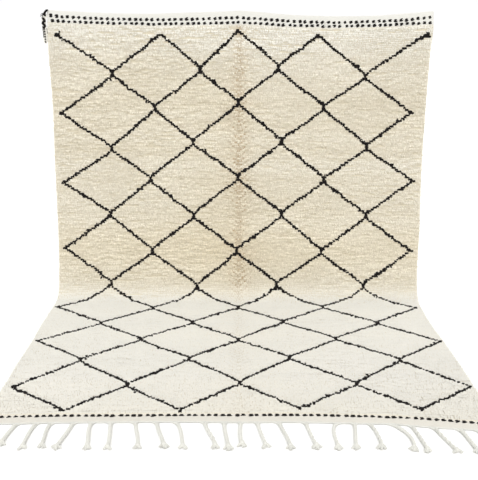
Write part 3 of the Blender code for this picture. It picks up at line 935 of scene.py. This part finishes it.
def make_tufts(name, pick, seed, mat, slot, dark=False):
    chance = np.random.default_rng(seed)
    xx, ss, hh, x, s, streak, parted = tuft_arrays(pick, chance, dark)
    n = len(x)
    row, col = np.nonzero(pick)
    rows = row.max() - row.min() + 1
    points = cloth(xx, ss, hh).reshape(-1, 3)
    faces = (np.arange(n)[:, None, None] * 5 + TUFT_FACES[None]).reshape(-1, 3)
    u = (col[:, None] + TUFT_SIDE[None]) / KNOTS
    v = (row[:, None] - row.min() + 0.06 + 0.88 * TUFT_RISE[None]) / rows
    places = np.stack([u, v], -1).reshape(-1, 2)[faces]
    own = chance.normal(0.0, 1.0, n)
    marks = {
        "rise": np.tile(TUFT_RISE, n),
        "cloth": np.stack([xx, ss, hh], -1).reshape(-1, 3),
    }
    if dark:
        marks["tone"] = np.repeat(np.clip(1.0 + 0.22 * own, 0.5, 1.8), 5)
    else:
        hanging = 1.0 - smooth((s - HANG + 0.03) / (0.8 * BEND))
        # painted shade: darker along the troughs of the waves in the pile, most on the hanging part; own is a
        # random tone for each tuft
        tone = 1.0 + (0.012 + 0.070 * hanging) * streak + (0.014 + 0.044 * hanging) * own
        tone = tone * (0.966 + 0.007 * hanging) + (0.012 + 0.006 * hanging) * ABRASH[pick]
        # painted light and shade down the hanging part: a touch darker low down, darker over its body below the
        # top rows, and the top rows lighter
        tone = tone - 0.008 * hanging * smooth((s - 1.05) / 0.35)
        tone = tone - 0.038 * hanging * smooth((s - 0.09) / 0.10) * (1.0 - smooth((s - 1.05) / 0.15))
        tone = tone + 0.022 * (1.0 - smooth((s - 0.09) / 0.10))
        tone = tone - (1.0 - hanging) * (0.010 + 0.026 * x)
        # the ivory is creamier and a little darker left of the middle
        left_patch = np.exp(-((x + 0.70) / 0.36) ** 2 - ((s - 0.68) / 0.26) ** 2) * hanging
        tone = tone - 0.030 * left_patch
        # painted shade as a browner ivory over the hanging part, with random abrash and a random tone for each
        # tuft
        warm_and_shade = warmth_and_shade(x, s) + (0.03 - 0.10 * hanging) * ABRASH[pick] + (0.03 - 0.08 * hanging) * own
        warm_and_shade = warm_and_shade + 0.11 * left_patch
        # painted light and shade: the wool paler on the crowns of the waves and browner in the troughs between
        # them
        warm_and_shade = warm_and_shade + hanging * (0.19 * np.clip(-streak, 0.0, 2.0) - 0.05 * np.clip(streak, 0.0, 2.0))
        # painted shade by the fold: the tufts lie like a herringbone, with brown shade painted between them
        bone = 0.5 + 0.5 * np.sin(2.0 * pi * (s + 0.75 * np.abs(x - CREASE_X)) / 0.030
                                  + 1.6 * np.sin(s * 23.0) + chance.normal(0.0, 0.5, n))
        wide_part = np.exp(-((x - CREASE_X - 0.004 * np.sin(s * 31.0)) / 0.052) ** 2)
        wide_part = wide_part * (0.80 + 0.20 * np.sin(s * 9.0 + 1.0))
        crease_shade = wide_part * bone ** 2.7 * chance.uniform(0.30, 1.95, n) * (0.16 + 0.84 * hanging) * (
            0.35 + 0.65 * smooth((s - 0.10) / 0.25))
        # and painted shade in the troughs round the middle of the hanging part
        gather = np.exp(-((x - CREASE_X) / 0.13) ** 2) * hanging * smooth((s - 0.15) / 0.3)
        gather = gather * np.clip(0.35 + 0.65 * PATCHES[pick], 0.0, 1.6)
        crease_shade = crease_shade + 0.36 * gather * np.clip(0.5 * chance.normal(0.0, 1.0, n) - 0.4 * streak, 0.0, 1.5)
        crease_shade = np.clip(crease_shade, 0.0, 0.92)
        marks["tone"] = np.repeat(tone, 5)
        marks["warm_and_shade"] = np.repeat(np.clip(warm_and_shade, 0.0, 1.0), 5)
        marks["crease_shade"] = np.repeat(crease_shade, 5)
    stock = Stock()
    stock.add(points, faces, places, **marks)
    return stock.object(name, mat, slot, facing_at(ss.ravel()))


def warmth_and_shade(x, s):
    """Warmer, browner ivory. On the hanging part it is painted shade, strongest round its middle and low down; on
    the lying part a little round the middle and towards the front.
    """
    hanging = 1.0 - smooth((s - HANG + 0.050) / (BEND + 0.03))
    middle = np.exp(-((x + 0.12) / 0.36) ** 2) * smooth((s - 0.05) / 0.45)
    nearer = smooth((s - 2.35) / 0.35)
    low = 0.13 * smooth((s - 0.95) / 0.35)
    sides = 0.12 * smooth((np.abs(x + 0.10) - 0.15) / 0.4) * smooth((s - 0.10) / 0.15)
    top = 0.03 + 0.10 * smooth((s - 0.08) / 0.10)
    return hanging * (top + 0.15 * smooth(s / 0.5) + 0.28 * middle + low + sides) + (1.0 - hanging) * (
        0.05 * np.exp(-(x / 0.35) ** 2) + 0.10 * nearer)


# --------------------------------------------------- twined marks of the ends
def dome():
    """One float of yarn: a low oval dome, closed underneath."""
    sides = 8
    turn = 2.0 * pi * np.arange(sides) / sides
    ring1 = np.stack([0.62 * np.cos(turn), 0.66 * np.sin(turn), np.full(sides, 0.82)], 1)
    ring2 = np.stack([np.cos(turn), np.sin(turn), np.zeros(sides)], 1)
    points = np.concatenate([[[0.0, 0.0, 1.0]], ring1, ring2, [[0.0, 0.0, -0.4]]])
    faces = []
    for k in range(sides):
        j = (k + 1) % sides
        faces += [(0, 1 + k, 1 + j), (1 + k, 9 + k, 9 + j), (1 + k, 9 + j, 1 + j), (17, 9 + j, 9 + k)]
    return points, np.array(faces)


DOME, DOME_FACES = dome()


def yarn_floats(x, s, slant, long, wide, high, ground, chance):
    """Each mark is two plies side by side, slanted as twining lays them."""
    n = len(x)
    wide = np.broadcast_to(wide, (n,))
    points = []
    for ply in (-0.5, 0.5):
        l = long * chance.uniform(0.86, 1.14, n) / 2.0
        w = wide * chance.uniform(0.86, 1.10, n) * 0.31
        g = slant + chance.normal(0.0, 0.10, n)
        u = DOME[None, :, 0] * l[:, None]
        v = DOME[None, :, 1] * w[:, None] + ply * wide[:, None] * 0.46
        px = x[:, None] + u * np.cos(g)[:, None] - v * np.sin(g)[:, None]
        ps = s[:, None] + u * np.sin(g)[:, None] + v * np.cos(g)[:, None]
        ph = ground + DOME[None, :, 2] * high * (1.0 if ply > 0 else 0.94)
        points.append(np.stack([px, ps, np.broadcast_to(ph, px.shape)], -1))
    return np.concatenate(points)


def make_marks():
    chance = np.random.default_rng(7)
    dark, light = Stock(), Stock()

    def lay(xs, ss, slant, long, wide, high, into, cell):
        group = yarn_floats(xs, ss, slant, long, wide, high, GROUND_H - 0.0002, chance)
        n = len(group)
        points = cloth(group[..., 0], group[..., 1], group[..., 2]).reshape(-1, 3)
        size = len(DOME)
        faces = (np.arange(n)[:, None, None] * size + DOME_FACES[None]).reshape(-1, 3)
        cols = 24
        k = np.arange(n)
        u = ((k % cols)[:, None] + 0.5 + 0.42 * DOME[None, :, 0]) / cols
        v = ((k // cols)[:, None] + 0.5 + 0.42 * DOME[None, :, 1]) / 14.0 / 3.0 + cell / 3.0
        into.add(
            points, faces, np.stack([u, v], -1).reshape(-1, 2)[faces],
            cloth=group.reshape(-1, 3),
            rise=np.tile(np.clip(DOME[:, 2], 0, 1), n),
            tone=np.repeat(np.clip(1.0 + 0.12 * chance.normal(size=n), 0.6, 1.5), size),
            band=1.0, back=0.0, front=1.0 if cell == 2 else 0.0, parting=0.0,
        )

    for k, name in ((1, "upper"), (2, "lower")):
        count = 68
        base = np.linspace(-0.999, 1.006, count) + (0.006 if k == 2 else 0.0)
        xs = base + chance.normal(0.0, 0.0016, count)
        ss = column(TOP_EDGE, 1, xs) + column(TOP_MARKS, k, xs) + chance.normal(0.0, 0.0009, count)
        gap = (base[1:] + base[:-1]) / 2.0
        gs = column(TOP_EDGE, 1, gap) + column(TOP_MARKS, k, gap)
        wide = (0.0144 if k == 1 else 0.0136) * chance.uniform(0.90, 1.14, count)
        wide[:2] = 0.0190 if k == 1 else 0.0165
        lay(xs, ss, chance.normal(-0.25, 0.16, count), 0.0208 if k == 1 else 0.0214, wide, 0.0038, dark, k - 1)
        lay(gap, gs, np.full(len(gap), 0.22), 0.0135, 0.0092, 0.0019, light, k - 1)
    count = 74
    base = np.linspace(-1.004, 1.012, count)
    xs = base + chance.normal(0.0, 0.0020, count)
    ss = column(FRONT_MARKS, 1, xs) + chance.normal(0.0, 0.0010, count)
    lay(xs, ss, chance.normal(-0.10, 0.10, count), 0.0244, 0.0158, 0.0040, dark, 2)
    gap = (base[1:] + base[:-1]) / 2.0
    lay(gap, column(FRONT_MARKS, 1, gap), np.full(len(gap), 0.15), 0.0110, 0.0080, 0.0018, light, 2)
    return dark.object("band_marks_black", BLACK_WOOL), light.object("band_marks_ivory", GROUND, "ivory_wool")


# ----------------------------------------------------- knots seen on the back
def make_knot_feet():
    """The feet of the black knots: one body for each run, through the cloth.

    On the back they show as low flat pads, on the face as a dark bed between
    the black tufts.
    """
    stock = Stock()
    chance = np.random.default_rng(11)
    runs = []
    for r in range(len(T)):
        on = np.flatnonzero(BLACK_KNOTS[r])
        if not len(on):
            continue
        for run in np.split(on, np.flatnonzero(np.diff(on) > 1) + 1):
            # every knot shows as two loops of yarn side by side; a pad spans a pair
            x0, x1 = X[r, run[0]] - 0.0026, X[r, run[-1]] + 0.0026
            centre = (x0 + x1) / 2.0
            deep = thickness(centre, S[r, run].mean(), LEFT[r], RIGHT[r])
            runs.append((x0, x1, S[r, run].mean(), chance.uniform(0.92, 1.08), BED * deep + 0.0026))
    runs = np.array(runs)
    n = len(runs)
    x0, x1, s, fat, deep = runs.T
    ends = 0.0018
    xs = np.stack([x0, x0 + ends, x1 - ends, x1], 1)
    half = 0.0037 * fat[:, None]
    wide = np.stack([0.45 * half[:, 0], half[:, 0], half[:, 0], 0.45 * half[:, 0]], 1)
    points = []
    for h, share_of, shift in ((deep, 1.30, 0.0055), (0.0 * deep + 0.0002, 0.86, 0.0)):
        for sign in (-1.0, 1.0):
            points.append(np.stack([
                xs, s[:, None] + shift + sign * wide * share_of,
                np.broadcast_to(h[:, None], xs.shape)], -1))
    # point order: high-, high+, low-, low+ with four stations each
    flat = np.stack(points, 1).reshape(n, 16, 3)
    faces = []
    for k in range(3):
        a = k
        for p, q in ((0, 4), (4, 12), (12, 8), (8, 0)):
            faces += [(p + a, q + a, q + a + 1), (p + a, q + a + 1, p + a + 1)]
    faces += [(0, 8, 12), (0, 12, 4), (3, 7, 15), (3, 15, 11)]
    faces = np.array(faces)
    world = cloth(flat[..., 0], flat[..., 1], flat[..., 2]).reshape(-1, 3)
    every = (np.arange(n)[:, None, None] * 16 + faces[None]).reshape(-1, 3)
    u = (flat[..., 0] + 1.05) / 2.1
    v = np.clip(flat[..., 1] / 2.8, 0, 1)
    stock.add(world, every, np.stack([u, v], -1).reshape(-1, 2)[every],
              cloth=flat.reshape(-1, 3), rise=0.25,
              tone=np.repeat(np.clip(chance.normal(1.0, 0.15, n), 0.6, 1.5), 16))
    return stock.object("knot_feet", BLACK_WOOL)


# -------------------------------------------------------------------- fringe
CELLS = 32


class Cells:
    """Hands out places in the fringe's map, one for each strand."""

    def __init__(self, across, down):
        self.across, self.down, self.k = across, down, 0

    def next(self):
        i, j = self.k % self.across, (self.k // self.across) % self.down
        self.k += 1
        return (i / self.across, j / self.down, 0.96 / self.across, 0.96 / self.down)


def on_floor(x, s, z):
    x, s, z = np.broadcast_arrays(x, s, z)
    return np.stack([x - ORIGIN_X, HANG + BEND - s - ORIGIN_Y, z], -1)


UP = (0.0, 0.0, 1.0)


def tassel_x(row, t):
    """x of a tassel at share t of its length: one cubic through its four x."""
    a, b, c, d = row[:4]
    p, q, r, w = t, 3.0 * t - 1.0, 3.0 * t - 2.0, t - 1.0
    return (-a * q * r * w + 9.0 * b * p * r * w - 9.0 * c * p * q * w + d * p * q * r) / 2.0


def strand(stock, cells, path, radius, sides, tone, up=UP, flat=1.0, seed=0.0):
    points, faces, places, along = sweep(path, radius, sides, up, flat, cells.next())
    around = np.concatenate([np.tile(np.arange(sides) / sides, len(path)), [0.0, 0.0]])
    length = np.linalg.norm(np.diff(path, axis=0), axis=1).sum()
    where = np.stack([along * length * 10.0 + seed, around * 0.03 + seed, np.zeros_like(around)], 1)
    stock.add(points, faces, places, cloth=where, tone=tone)


def make_fringe():
    chance = np.random.default_rng(5)
    stock, cells = Stock(), Cells(36, 30)
    # two plies of weft twined along the front edge
    x = np.linspace(-1.012, 1.024, 420)
    for ply in range(2):
        turn = 2.0 * pi * x / 0.016 + ply * pi
        s = front_edge(x) + 0.0008 + 0.0014 * np.cos(turn)
        z = 0.0040 + 0.0012 * np.sin(turn)
        strand(stock, cells, on_floor(x, s, z), 0.0021, 6, 0.99, seed=ply * 3.1)
    roots = [r[0] for r in TASSELS]
    for k, row in enumerate(TASSELS):
        root, reach = row[0], row[4]
        start = float(front_edge(root)) + 0.0015
        length = reach - start
        left_gap = root - roots[k - 1] if k else 0.08
        right_gap = roots[k + 1] - root if k < len(TASSELS) - 1 else 0.06
        tone = chance.uniform(0.965, 1.015)
        knot_at = 1.0 - chance.uniform(0.0225, 0.0280) / length
        plies = 3 if chance.random() < 0.6 else 2
        pitch = chance.uniform(0.034, 0.050)
        phase = chance.uniform(0.0, 2.0 * pi)
        girth = chance.uniform(0.84, 0.98)
        wave = chance.uniform(-0.0022, 0.0022)

        def middle(t):
            return tassel_x(row, t) + wave * np.sin(2.2 * pi * t), start + length * t

        # the cord: plies wound round each other
        t = np.linspace(0.09, knot_at + 0.02, 44)
        mx, ms = middle(t)
        ax = np.gradient(mx, t) / length
        nx, ns = 1.0 / np.sqrt(1 + ax ** 2), -ax / np.sqrt(1 + ax ** 2)
        for p in range(plies):
            turn = phase + 2.0 * pi * (length * t / pitch + p / plies)
            off = (0.0038 if plies == 3 else 0.0034) * girth
            r = (0.0044 if plies == 3 else 0.0049) * girth
            grow = smooth((t - 0.08) / 0.12) * 0.35 + 0.65
            side = off * np.cos(turn) * grow
            z = 0.0006 + (off + r) + off * np.sin(turn) * grow
            path = on_floor(mx + side * nx, ms + side * ns, np.maximum(z, r + 0.0004))
            strand(stock, cells, path, r * (0.8 + 0.2 * grow), 6, tone * chance.uniform(0.97, 1.02),
                   seed=k * 1.7 + p)
        # warp ends that run together from the edge into the cord
        count = 11
        spread = np.linspace(-1.0, 1.0, count)
        lean = float(tassel_x(row, 0.35) - root) / (0.35 * length)
        for q, share_of in enumerate(spread):
            # the flare sweeps out further on the side the tassel leans away from
            gap = min(left_gap if share_of < 0 else right_gap, 0.080) * 0.22
            gap = gap * (1.0 - np.sign(share_of) * np.clip(lean * 1.6, -0.65, 0.65))
            t = np.linspace(0.0, 0.26, 9)
            mx, ms = middle(t)
            ease = np.exp(-(t * length / 0.0090) ** 1.05)
            x0 = mx + share_of * (gap * ease + 0.0046 * (1.0 - ease))
            edge = front_edge(x0) - 0.0030
            s = edge + (ms - start + 0.0030) * 1.0
            z = 0.0036 + 0.0030 * smooth(t / 0.16) * (1.0 - 0.6 * abs(share_of))
            strand(stock, cells, on_floor(x0, s, z), 0.0029 - 0.0003 * abs(share_of) - 0.0008 * t / 0.26, 5,
                   tone * chance.uniform(0.98, 1.01), seed=k + q * 0.37)
        # the knot: the cord wrapped close round its own end
        kx, ks = middle(np.array([knot_at - 0.035, knot_at + 0.035]))
        d = np.array([kx[1] - kx[0], ks[1] - ks[0]])
        d /= np.linalg.norm(d)
        mid = np.array([kx.mean(), ks.mean()])
        fat = chance.uniform(0.82, 1.02)
        t = np.linspace(0.0, 1.0, 34)
        around = 2.0 * pi * 2.2 * t + phase
        run_to = (t - 0.5) * 0.0125 * fat
        big = 0.0058 * fat * (0.80 + 0.20 * np.sin(pi * t))
        path = on_floor(mid[0] + d[0] * run_to + big * np.cos(around) * d[1],
                        mid[1] + d[1] * run_to - big * np.cos(around) * d[0],
                        0.0104 * fat + big * np.sin(around))
        strand(stock, cells, path, 0.0046 * fat, 6, tone * 1.01, seed=k * 0.9)
        # its heart, so that no gap shows between the turns
        core = on_floor(mid[0] + d[0] * np.linspace(-0.0070, 0.0080, 7), mid[1] + d[1] * np.linspace(-0.0070, 0.0080, 7),
                        np.full(7, 0.0100 * fat))
        strand(stock, cells, core, fat * np.array([0.0050, 0.0076, 0.0086, 0.0088, 0.0086, 0.0074, 0.0048]), 7,
               tone, seed=k * 0.5)
        # the cut ends: short thick prongs of loose yarn, splayed from the knot
        prongs = int(chance.integers(2, 4))
        open_to = chance.uniform(0.60, 1.15)
        angles = np.linspace(-open_to, open_to, prongs) + chance.normal(0.0, 0.14, prongs)
        slope = np.arctan2(d[0], d[1])
        for a in angles:
            reach_out = chance.uniform(0.0190, 0.0250)
            for f in range(4):
                t = np.linspace(0.0, 1.0, 6)
                fan = a + (f - 1.5) * 0.07 + chance.normal(0.0, 0.05)
                bend = fan + 0.25 * chance.normal() * t
                ux = np.cumsum(np.sin(slope + bend)) / len(t)
                us = np.cumsum(np.cos(slope + bend)) / len(t)
                size = reach_out * chance.uniform(0.80, 1.08)
                off = (f - 1.5) * 0.0018
                z = 0.0034 + 0.0075 * (1.0 - smooth(t / 0.9)) + 0.0026 * chance.random()
                path = on_floor(mid[0] + d[1] * off + ux * size, mid[1] - d[0] * off + us * size, z)
                strand(stock, cells, path, np.array([0.0030, 0.0030, 0.0030, 0.0028, 0.0025, 0.0019]), 5,
                       tone * chance.uniform(0.91, 0.98), seed=k + f * 0.21)
    up = np.broadcast_to(np.array([0.0, 0.0, 1.0]), (stock.count, 3))
    return stock.object("fringe_tassels", WARP, "ivory_warp", up, 0.28)


# ----------------------------------------------------- the plaited corner tail
def make_tail():
    chance = np.random.default_rng(3)
    left = float(column(SIDE_EDGES, 1, 0.045))
    u = np.linspace(0.0, 1.0, 90)
    knots = np.linspace(0.0, 1.0, len(TAIL))
    out = np.interp(u, knots, TAIL[:, 0])
    down = np.interp(u, knots, TAIL[:, 1])
    back = np.interp(u, knots, TAIL[:, 2])
    size = 9
    pad = np.ones(size) / size
    soften = lambda v: np.convolve(np.pad(v, size // 2, mode="edge"), pad, mode="valid")
    out, down, back = soften(out), soften(down), soften(back)
    y = np.interp(down, RUN_S, RUN_Y) + back - ORIGIN_Y
    z = np.interp(down, RUN_S, RUN_Z)
    line = np.stack([left - out - ORIGIN_X, y, z], 1)
    ahead = np.gradient(line, axis=0)
    step = np.linalg.norm(ahead, axis=1)
    ahead /= step[:, None]
    face = np.array([0.0, -1.0, 0.0])
    side = np.cross(ahead, face)
    side /= np.linalg.norm(side, axis=1)[:, None]
    run = np.concatenate([[0.0], np.cumsum(np.linalg.norm(np.diff(line, axis=0), axis=1))])
    ivory, black = Stock(), Stock()
    ci, cb = Cells(6, 4), Cells(7, 6)
    pitch = 0.029
    for p in range(3):
        turn = 2.0 * pi * (run / pitch + p / 3.0)
        sway, cross = 0.0066 * np.sin(turn), 0.0017 * np.sin(2.0 * turn)
        narrow = 1.0 - 0.25 * smooth((run - run[-1] + 0.02) / 0.02)
        path = line + side * (sway * narrow)[:, None] + face * (cross)[:, None]
        radius = np.full(len(run), 0.0044) * narrow
        points, faces, places, along = sweep(path, radius, 7, face, 0.62, ci.next())
        around = np.concatenate([np.tile(np.arange(7) / 7, len(path)), [0.0, 0.0]])
        where = np.stack([along * run[-1] * 10.0 + p, around * 0.03, 0 * along], 1)
        ivory.add(points, faces, places, cloth=where, tone=chance.uniform(0.98, 1.02))
    # cream selvedge yarns on both sides of the plait
    for sign in (-1.0, 1.0):
        path = line[4:-2] + side[4:-2] * (sign * 0.0092) + face * 0.0003
        points, faces, places, along = sweep(path, 0.0024, 6, face, 0.9, ci.next())
        around = np.concatenate([np.tile(np.arange(6) / 6, len(path)), [0.0, 0.0]])
        ivory.add(points, faces, places, tone=0.98,
                  cloth=np.stack([along * 2.0 + sign, around * 0.03, 0 * along], 1))
    # two black yarns twisted from the corner of the band down to the plait
    corner = np.array([left + 0.006 - ORIGIN_X, np.interp(0.004, RUN_S, RUN_Y) + 0.012 - ORIGIN_Y,
                       np.interp(0.006, RUN_S, RUN_Z)])
    t = np.linspace(0.0, 1.0, 34)
    start = line[14]
    way = corner[None] * (1 - t)[:, None] + start[None] * t[:, None]
    way[:, 0] -= 0.006 * np.sin(pi * t)
    way[:, 1] -= 0.006 * np.sin(pi * t)
    for p in range(2):
        turn = 2.0 * pi * (2.6 * t + p / 2.0)
        path = way + np.stack([0.0030 * np.cos(turn), 0.0022 * np.sin(turn), 0 * t], 1)
        points, faces, places, along = sweep(path, 0.0040, 6, face, 1.0, cb.next())
        black.add(points, faces, places, tone=0.95 + 0.1 * p, rise=0.2,
                  cloth=np.stack([along, along * 0.0 + p, 0 * along], 1))
    def dark_yarn(path, radius, sides, tone, flat=1.0):
        points, faces, places, along = sweep(path, radius, sides, face, flat, cb.next())
        black.add(points, faces, places, tone=tone, rise=0.2,
                  cloth=np.stack([along, along * 0.0 + len(black.points), 0 * along], 1))

    def at(distance, across, above):
        """A place on the plait: so far down, to its right and over its face."""
        at_line = np.stack([np.interp(distance, down, line[:, k]) for k in range(3)], -1)
        at_side = np.stack([np.interp(distance, down, side[:, k]) for k in range(3)], -1)
        return at_line + at_side * np.asarray(across)[..., None] + face * np.asarray(above)[..., None]

    sense = 1.0 if side[60, 0] > 0.0 else -1.0
    # the same yarns run on down the plait's face in thick bends
    first = 0.046
    for p, (wide, low) in enumerate(((0.0052, 0.098), (-0.0046, 0.084))):
        q = np.linspace(first, low, 30)
        turn = (q - first) * 2.0 * pi / 0.0265 + p * pi
        dark_yarn(at(q, wide * np.cos(turn), 0.0042 + 0.0010 * np.sin(turn)),
                  0.0072 * (0.78 + 0.22 * np.sin(turn * 2.0 + 1.0) ** 2), 6, 1.0 - 0.05 * p)
    # below that a thin yarn down the left side, with ties across to a row of stitches
    q = np.linspace(0.088, 0.146, 24)
    dark_yarn(at(q, sense * (-0.0080 + 0.0005 * np.sin(q * 400.0)), 0.0032 + 0.0 * q), 0.0019, 5, 1.0)
    for n, q in enumerate(np.arange(0.102, 0.168, 0.0132)):
        w = np.linspace(-0.0040, 0.0034, 7)
        fade = 1.0 - 0.25 * n / 5.0
        dark_yarn(at(q + 0.0010 * np.sin(w * 500.0), sense * w, 0.0040 + 0.0 * w),
                  fade * np.array([0.0024, 0.0044, 0.0054, 0.0056, 0.0052, 0.0042, 0.0022]), 6, 1.0)
        if n < 4:
            w = np.linspace(-0.0082, -0.0028, 5)
            dark_yarn(at(q + 0.0012 + 0.0 * w, sense * w, 0.0036 + 0.0 * w), 0.0016, 5, 1.05)
    # painted shadow: a thin black strand between the plait and the edge of the cloth, standing in for the shadow
    # line there
    q = np.linspace(0.098, 0.1735, 22)
    lean_in = (q - q[0]) / (q[-1] - q[0])
    dark_yarn(at(q, sense * (0.0112 + 0.0052 * lean_in + 0.0006 * np.sin(q * 260.0)), -0.0004 + 0.0 * q),
              0.0017 + 0.0014 * np.exp(-((lean_in - 0.83) / 0.05) ** 2), 5, 1.0)
    for p, (dx, dz, curl) in enumerate(((-0.017, -0.009, 0.005), (-0.013, -0.013, -0.003), (-0.007, -0.016, 0.003), (-0.018, -0.016, 0.002))):
        t = np.linspace(0.0, 1.0, 9)
        base = start + np.array([-0.006, -0.003, 0.012])
        path = base[None] + np.stack([dx * t, -0.003 * t, dz * t + curl * np.sin(pi * t)], 1)
        points, faces, places, along = sweep(path, np.linspace(0.0019, 0.0009, 9), 5, face, 1.0, cb.next())
        black.add(points, faces, places, tone=1.2, rise=0.5,
                  cloth=np.stack([along, along * 0.0 + p, 0 * along], 1))
    # loose ends below
    for p in range(5):
        t = np.linspace(0.0, 1.0, 8)
        base = line[-1] + side[-1] * (p - 2) * 0.0030
        path = base[None] + np.stack([(p - 2) * 0.0016 * t + 0.001 * np.sin(4 * t + p), 0.0006 * np.sin(5 * t + p),
                                      -0.004 + 0.004 * (1 - t) - chance.uniform(0.004, 0.008) * t], 1)
        points, faces, places, along = sweep(path, np.linspace(0.0019, 0.0009, 8), 5, face, 1.0, ci.next())
        around = np.concatenate([np.tile(np.arange(5) / 5, 8), [0.0, 0.0]])
        ivory.add(points, faces, places, tone=1.0,
                  cloth=np.stack([along * 0.2 + p, around * 0.03, 0 * along], 1))
    return ivory.object("tail_ivory", PLAIT, "plaited_yarn"), black.object("tail_black", BLACK_WOOL)


# ---------------------------------------------------------- making the pieces
ground = make_ground()
pieces = []
ivory_knots = PRESENT & ~BLACK_KNOTS
levels = np.array_split(np.arange(len(T)), 4)
for k, rows in enumerate(levels):
    pick = np.zeros(SHAPE, bool)
    pick[rows] = ivory_knots[rows]
    pieces.append(make_tufts(f"pile_{k + 1}", pick, 100 + k, WOOL, "ivory_wool"))
pieces.append(make_tufts("lattice_pile", BLACK_KNOTS, 200, BLACK_WOOL, None, dark=True))
pieces += make_marks()
pieces.append(make_knot_feet())
fringe = make_fringe()
tail = make_tail()

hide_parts("rug")
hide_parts("fringe")
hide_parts("corner_tail")

# ------------------------------------------------------------------ the stage


def make_stage():
    mat, tree, shader = shader_of("studio_floor")
    geometry = add(tree, "ShaderNodeTexCoord").outputs["Object"]
    soft = noise(tree, geometry, 0.7, (1.0, 1.0, 1.0), 2.0)
    colour = blend_colour(tree, soft, (0.93, 0.93, 0.93), (0.95, 0.95, 0.95))
    tree.links.new(colour, shader.inputs["Base Color"])
    shader.inputs["Roughness"].default_value = 0.9
    shader.inputs["Specular IOR Level"].default_value = 0.1
    mesh = bpy.data.meshes.new("studio_floor")
    far, low = 60.0, -0.0006
    mesh.from_pydata([(-far, -far, low), (far, -far, low), (far, far, low), (-far, far, low)], [], [(0, 1, 2, 3)])
    mesh.materials.append(mat)
    floor = bpy.data.objects.new("studio_floor", mesh)
    bpy.context.scene.collection.objects.link(floor)


def make_lights():
    world = bpy.data.worlds.new("studio")
    world.use_nodes = True
    tree = world.node_tree
    tree.nodes.clear()
    out = tree.nodes.new("ShaderNodeOutputWorld")
    seen = tree.nodes.new("ShaderNodeBackground")
    seen.inputs["Color"].default_value = (1.0, 1.0, 1.0, 1.0)
    seen.inputs["Strength"].default_value = 1.02
    fill = tree.nodes.new("ShaderNodeBackground")
    fill.inputs["Color"].default_value = (1.0, 0.985, 0.955, 1.0)
    fill.inputs["Strength"].default_value = 0.50
    path = tree.nodes.new("ShaderNodeLightPath")
    mix = tree.nodes.new("ShaderNodeMixShader")
    tree.links.new(path.outputs["Is Camera Ray"], mix.inputs[0])
    tree.links.new(fill.outputs[0], mix.inputs[1])
    tree.links.new(seen.outputs[0], mix.inputs[2])
    tree.links.new(mix.outputs[0], out.inputs["Surface"])
    bpy.context.scene.world = world
    suns = (
        # name, strength, colour, towards the light, softness in degrees
        ("overhead", 1.69, (0.960, 0.985, 1.0), (-0.02, -0.30, 1.0), 70.0),
        ("front", 1.35, (1.0, 0.965, 0.89), (-0.02, -1.0, 0.40), 60.0),
        ("back", 1.0, (1.0, 0.985, 0.96), (0.4, 1.0, 0.6), 80.0),
    )
    for name, strength, colour, towards, softness in suns:
        light = bpy.data.lights.new(name, "SUN")
        light.energy = strength
        light.color = colour
        light.angle = radians(softness)
        ob = bpy.data.objects.new(name, light)
        ob.rotation_mode = "QUATERNION"
        ob.rotation_quaternion = Vector(towards).to_track_quat("Z", "Y")
        bpy.context.scene.collection.objects.link(ob)


def make_camera():
    pitch, yaw, roll = radians(18.6247), radians(0.3108), radians(0.3492)
    ahead = Vector((sin(yaw) * cos(pitch), cos(yaw) * cos(pitch), -sin(pitch)))
    right = Vector((cos(yaw), -sin(yaw), 0.0))
    up = right.cross(ahead)
    right, up = cos(roll) * right + sin(roll) * up, -sin(roll) * right + cos(roll) * up
    camera = bpy.data.cameras.new("camera")
    camera.lens = 48.543
    camera.sensor_width = 36.0
    camera.sensor_fit = "AUTO"
    camera.clip_end = 300.0
    ob = bpy.data.objects.new("camera", camera)
    ob.matrix_world = Matrix((
        (right.x, up.x, -ahead.x, -0.0064),
        (right.y, up.y, -ahead.y, -2.8127),
        (right.z, up.z, -ahead.z, 1.5118),
        (0.0, 0.0, 0.0, 1.0),
    ))
    bpy.context.scene.collection.objects.link(ob)
    bpy.context.scene.camera = ob


make_stage()
make_lights()
make_camera()
scene = bpy.context.scene
scene.view_settings.view_transform = "Standard"
scene.view_settings.look = "None"
scene.view_settings.exposure = 0.0
scene.view_settings.gamma = 1.0
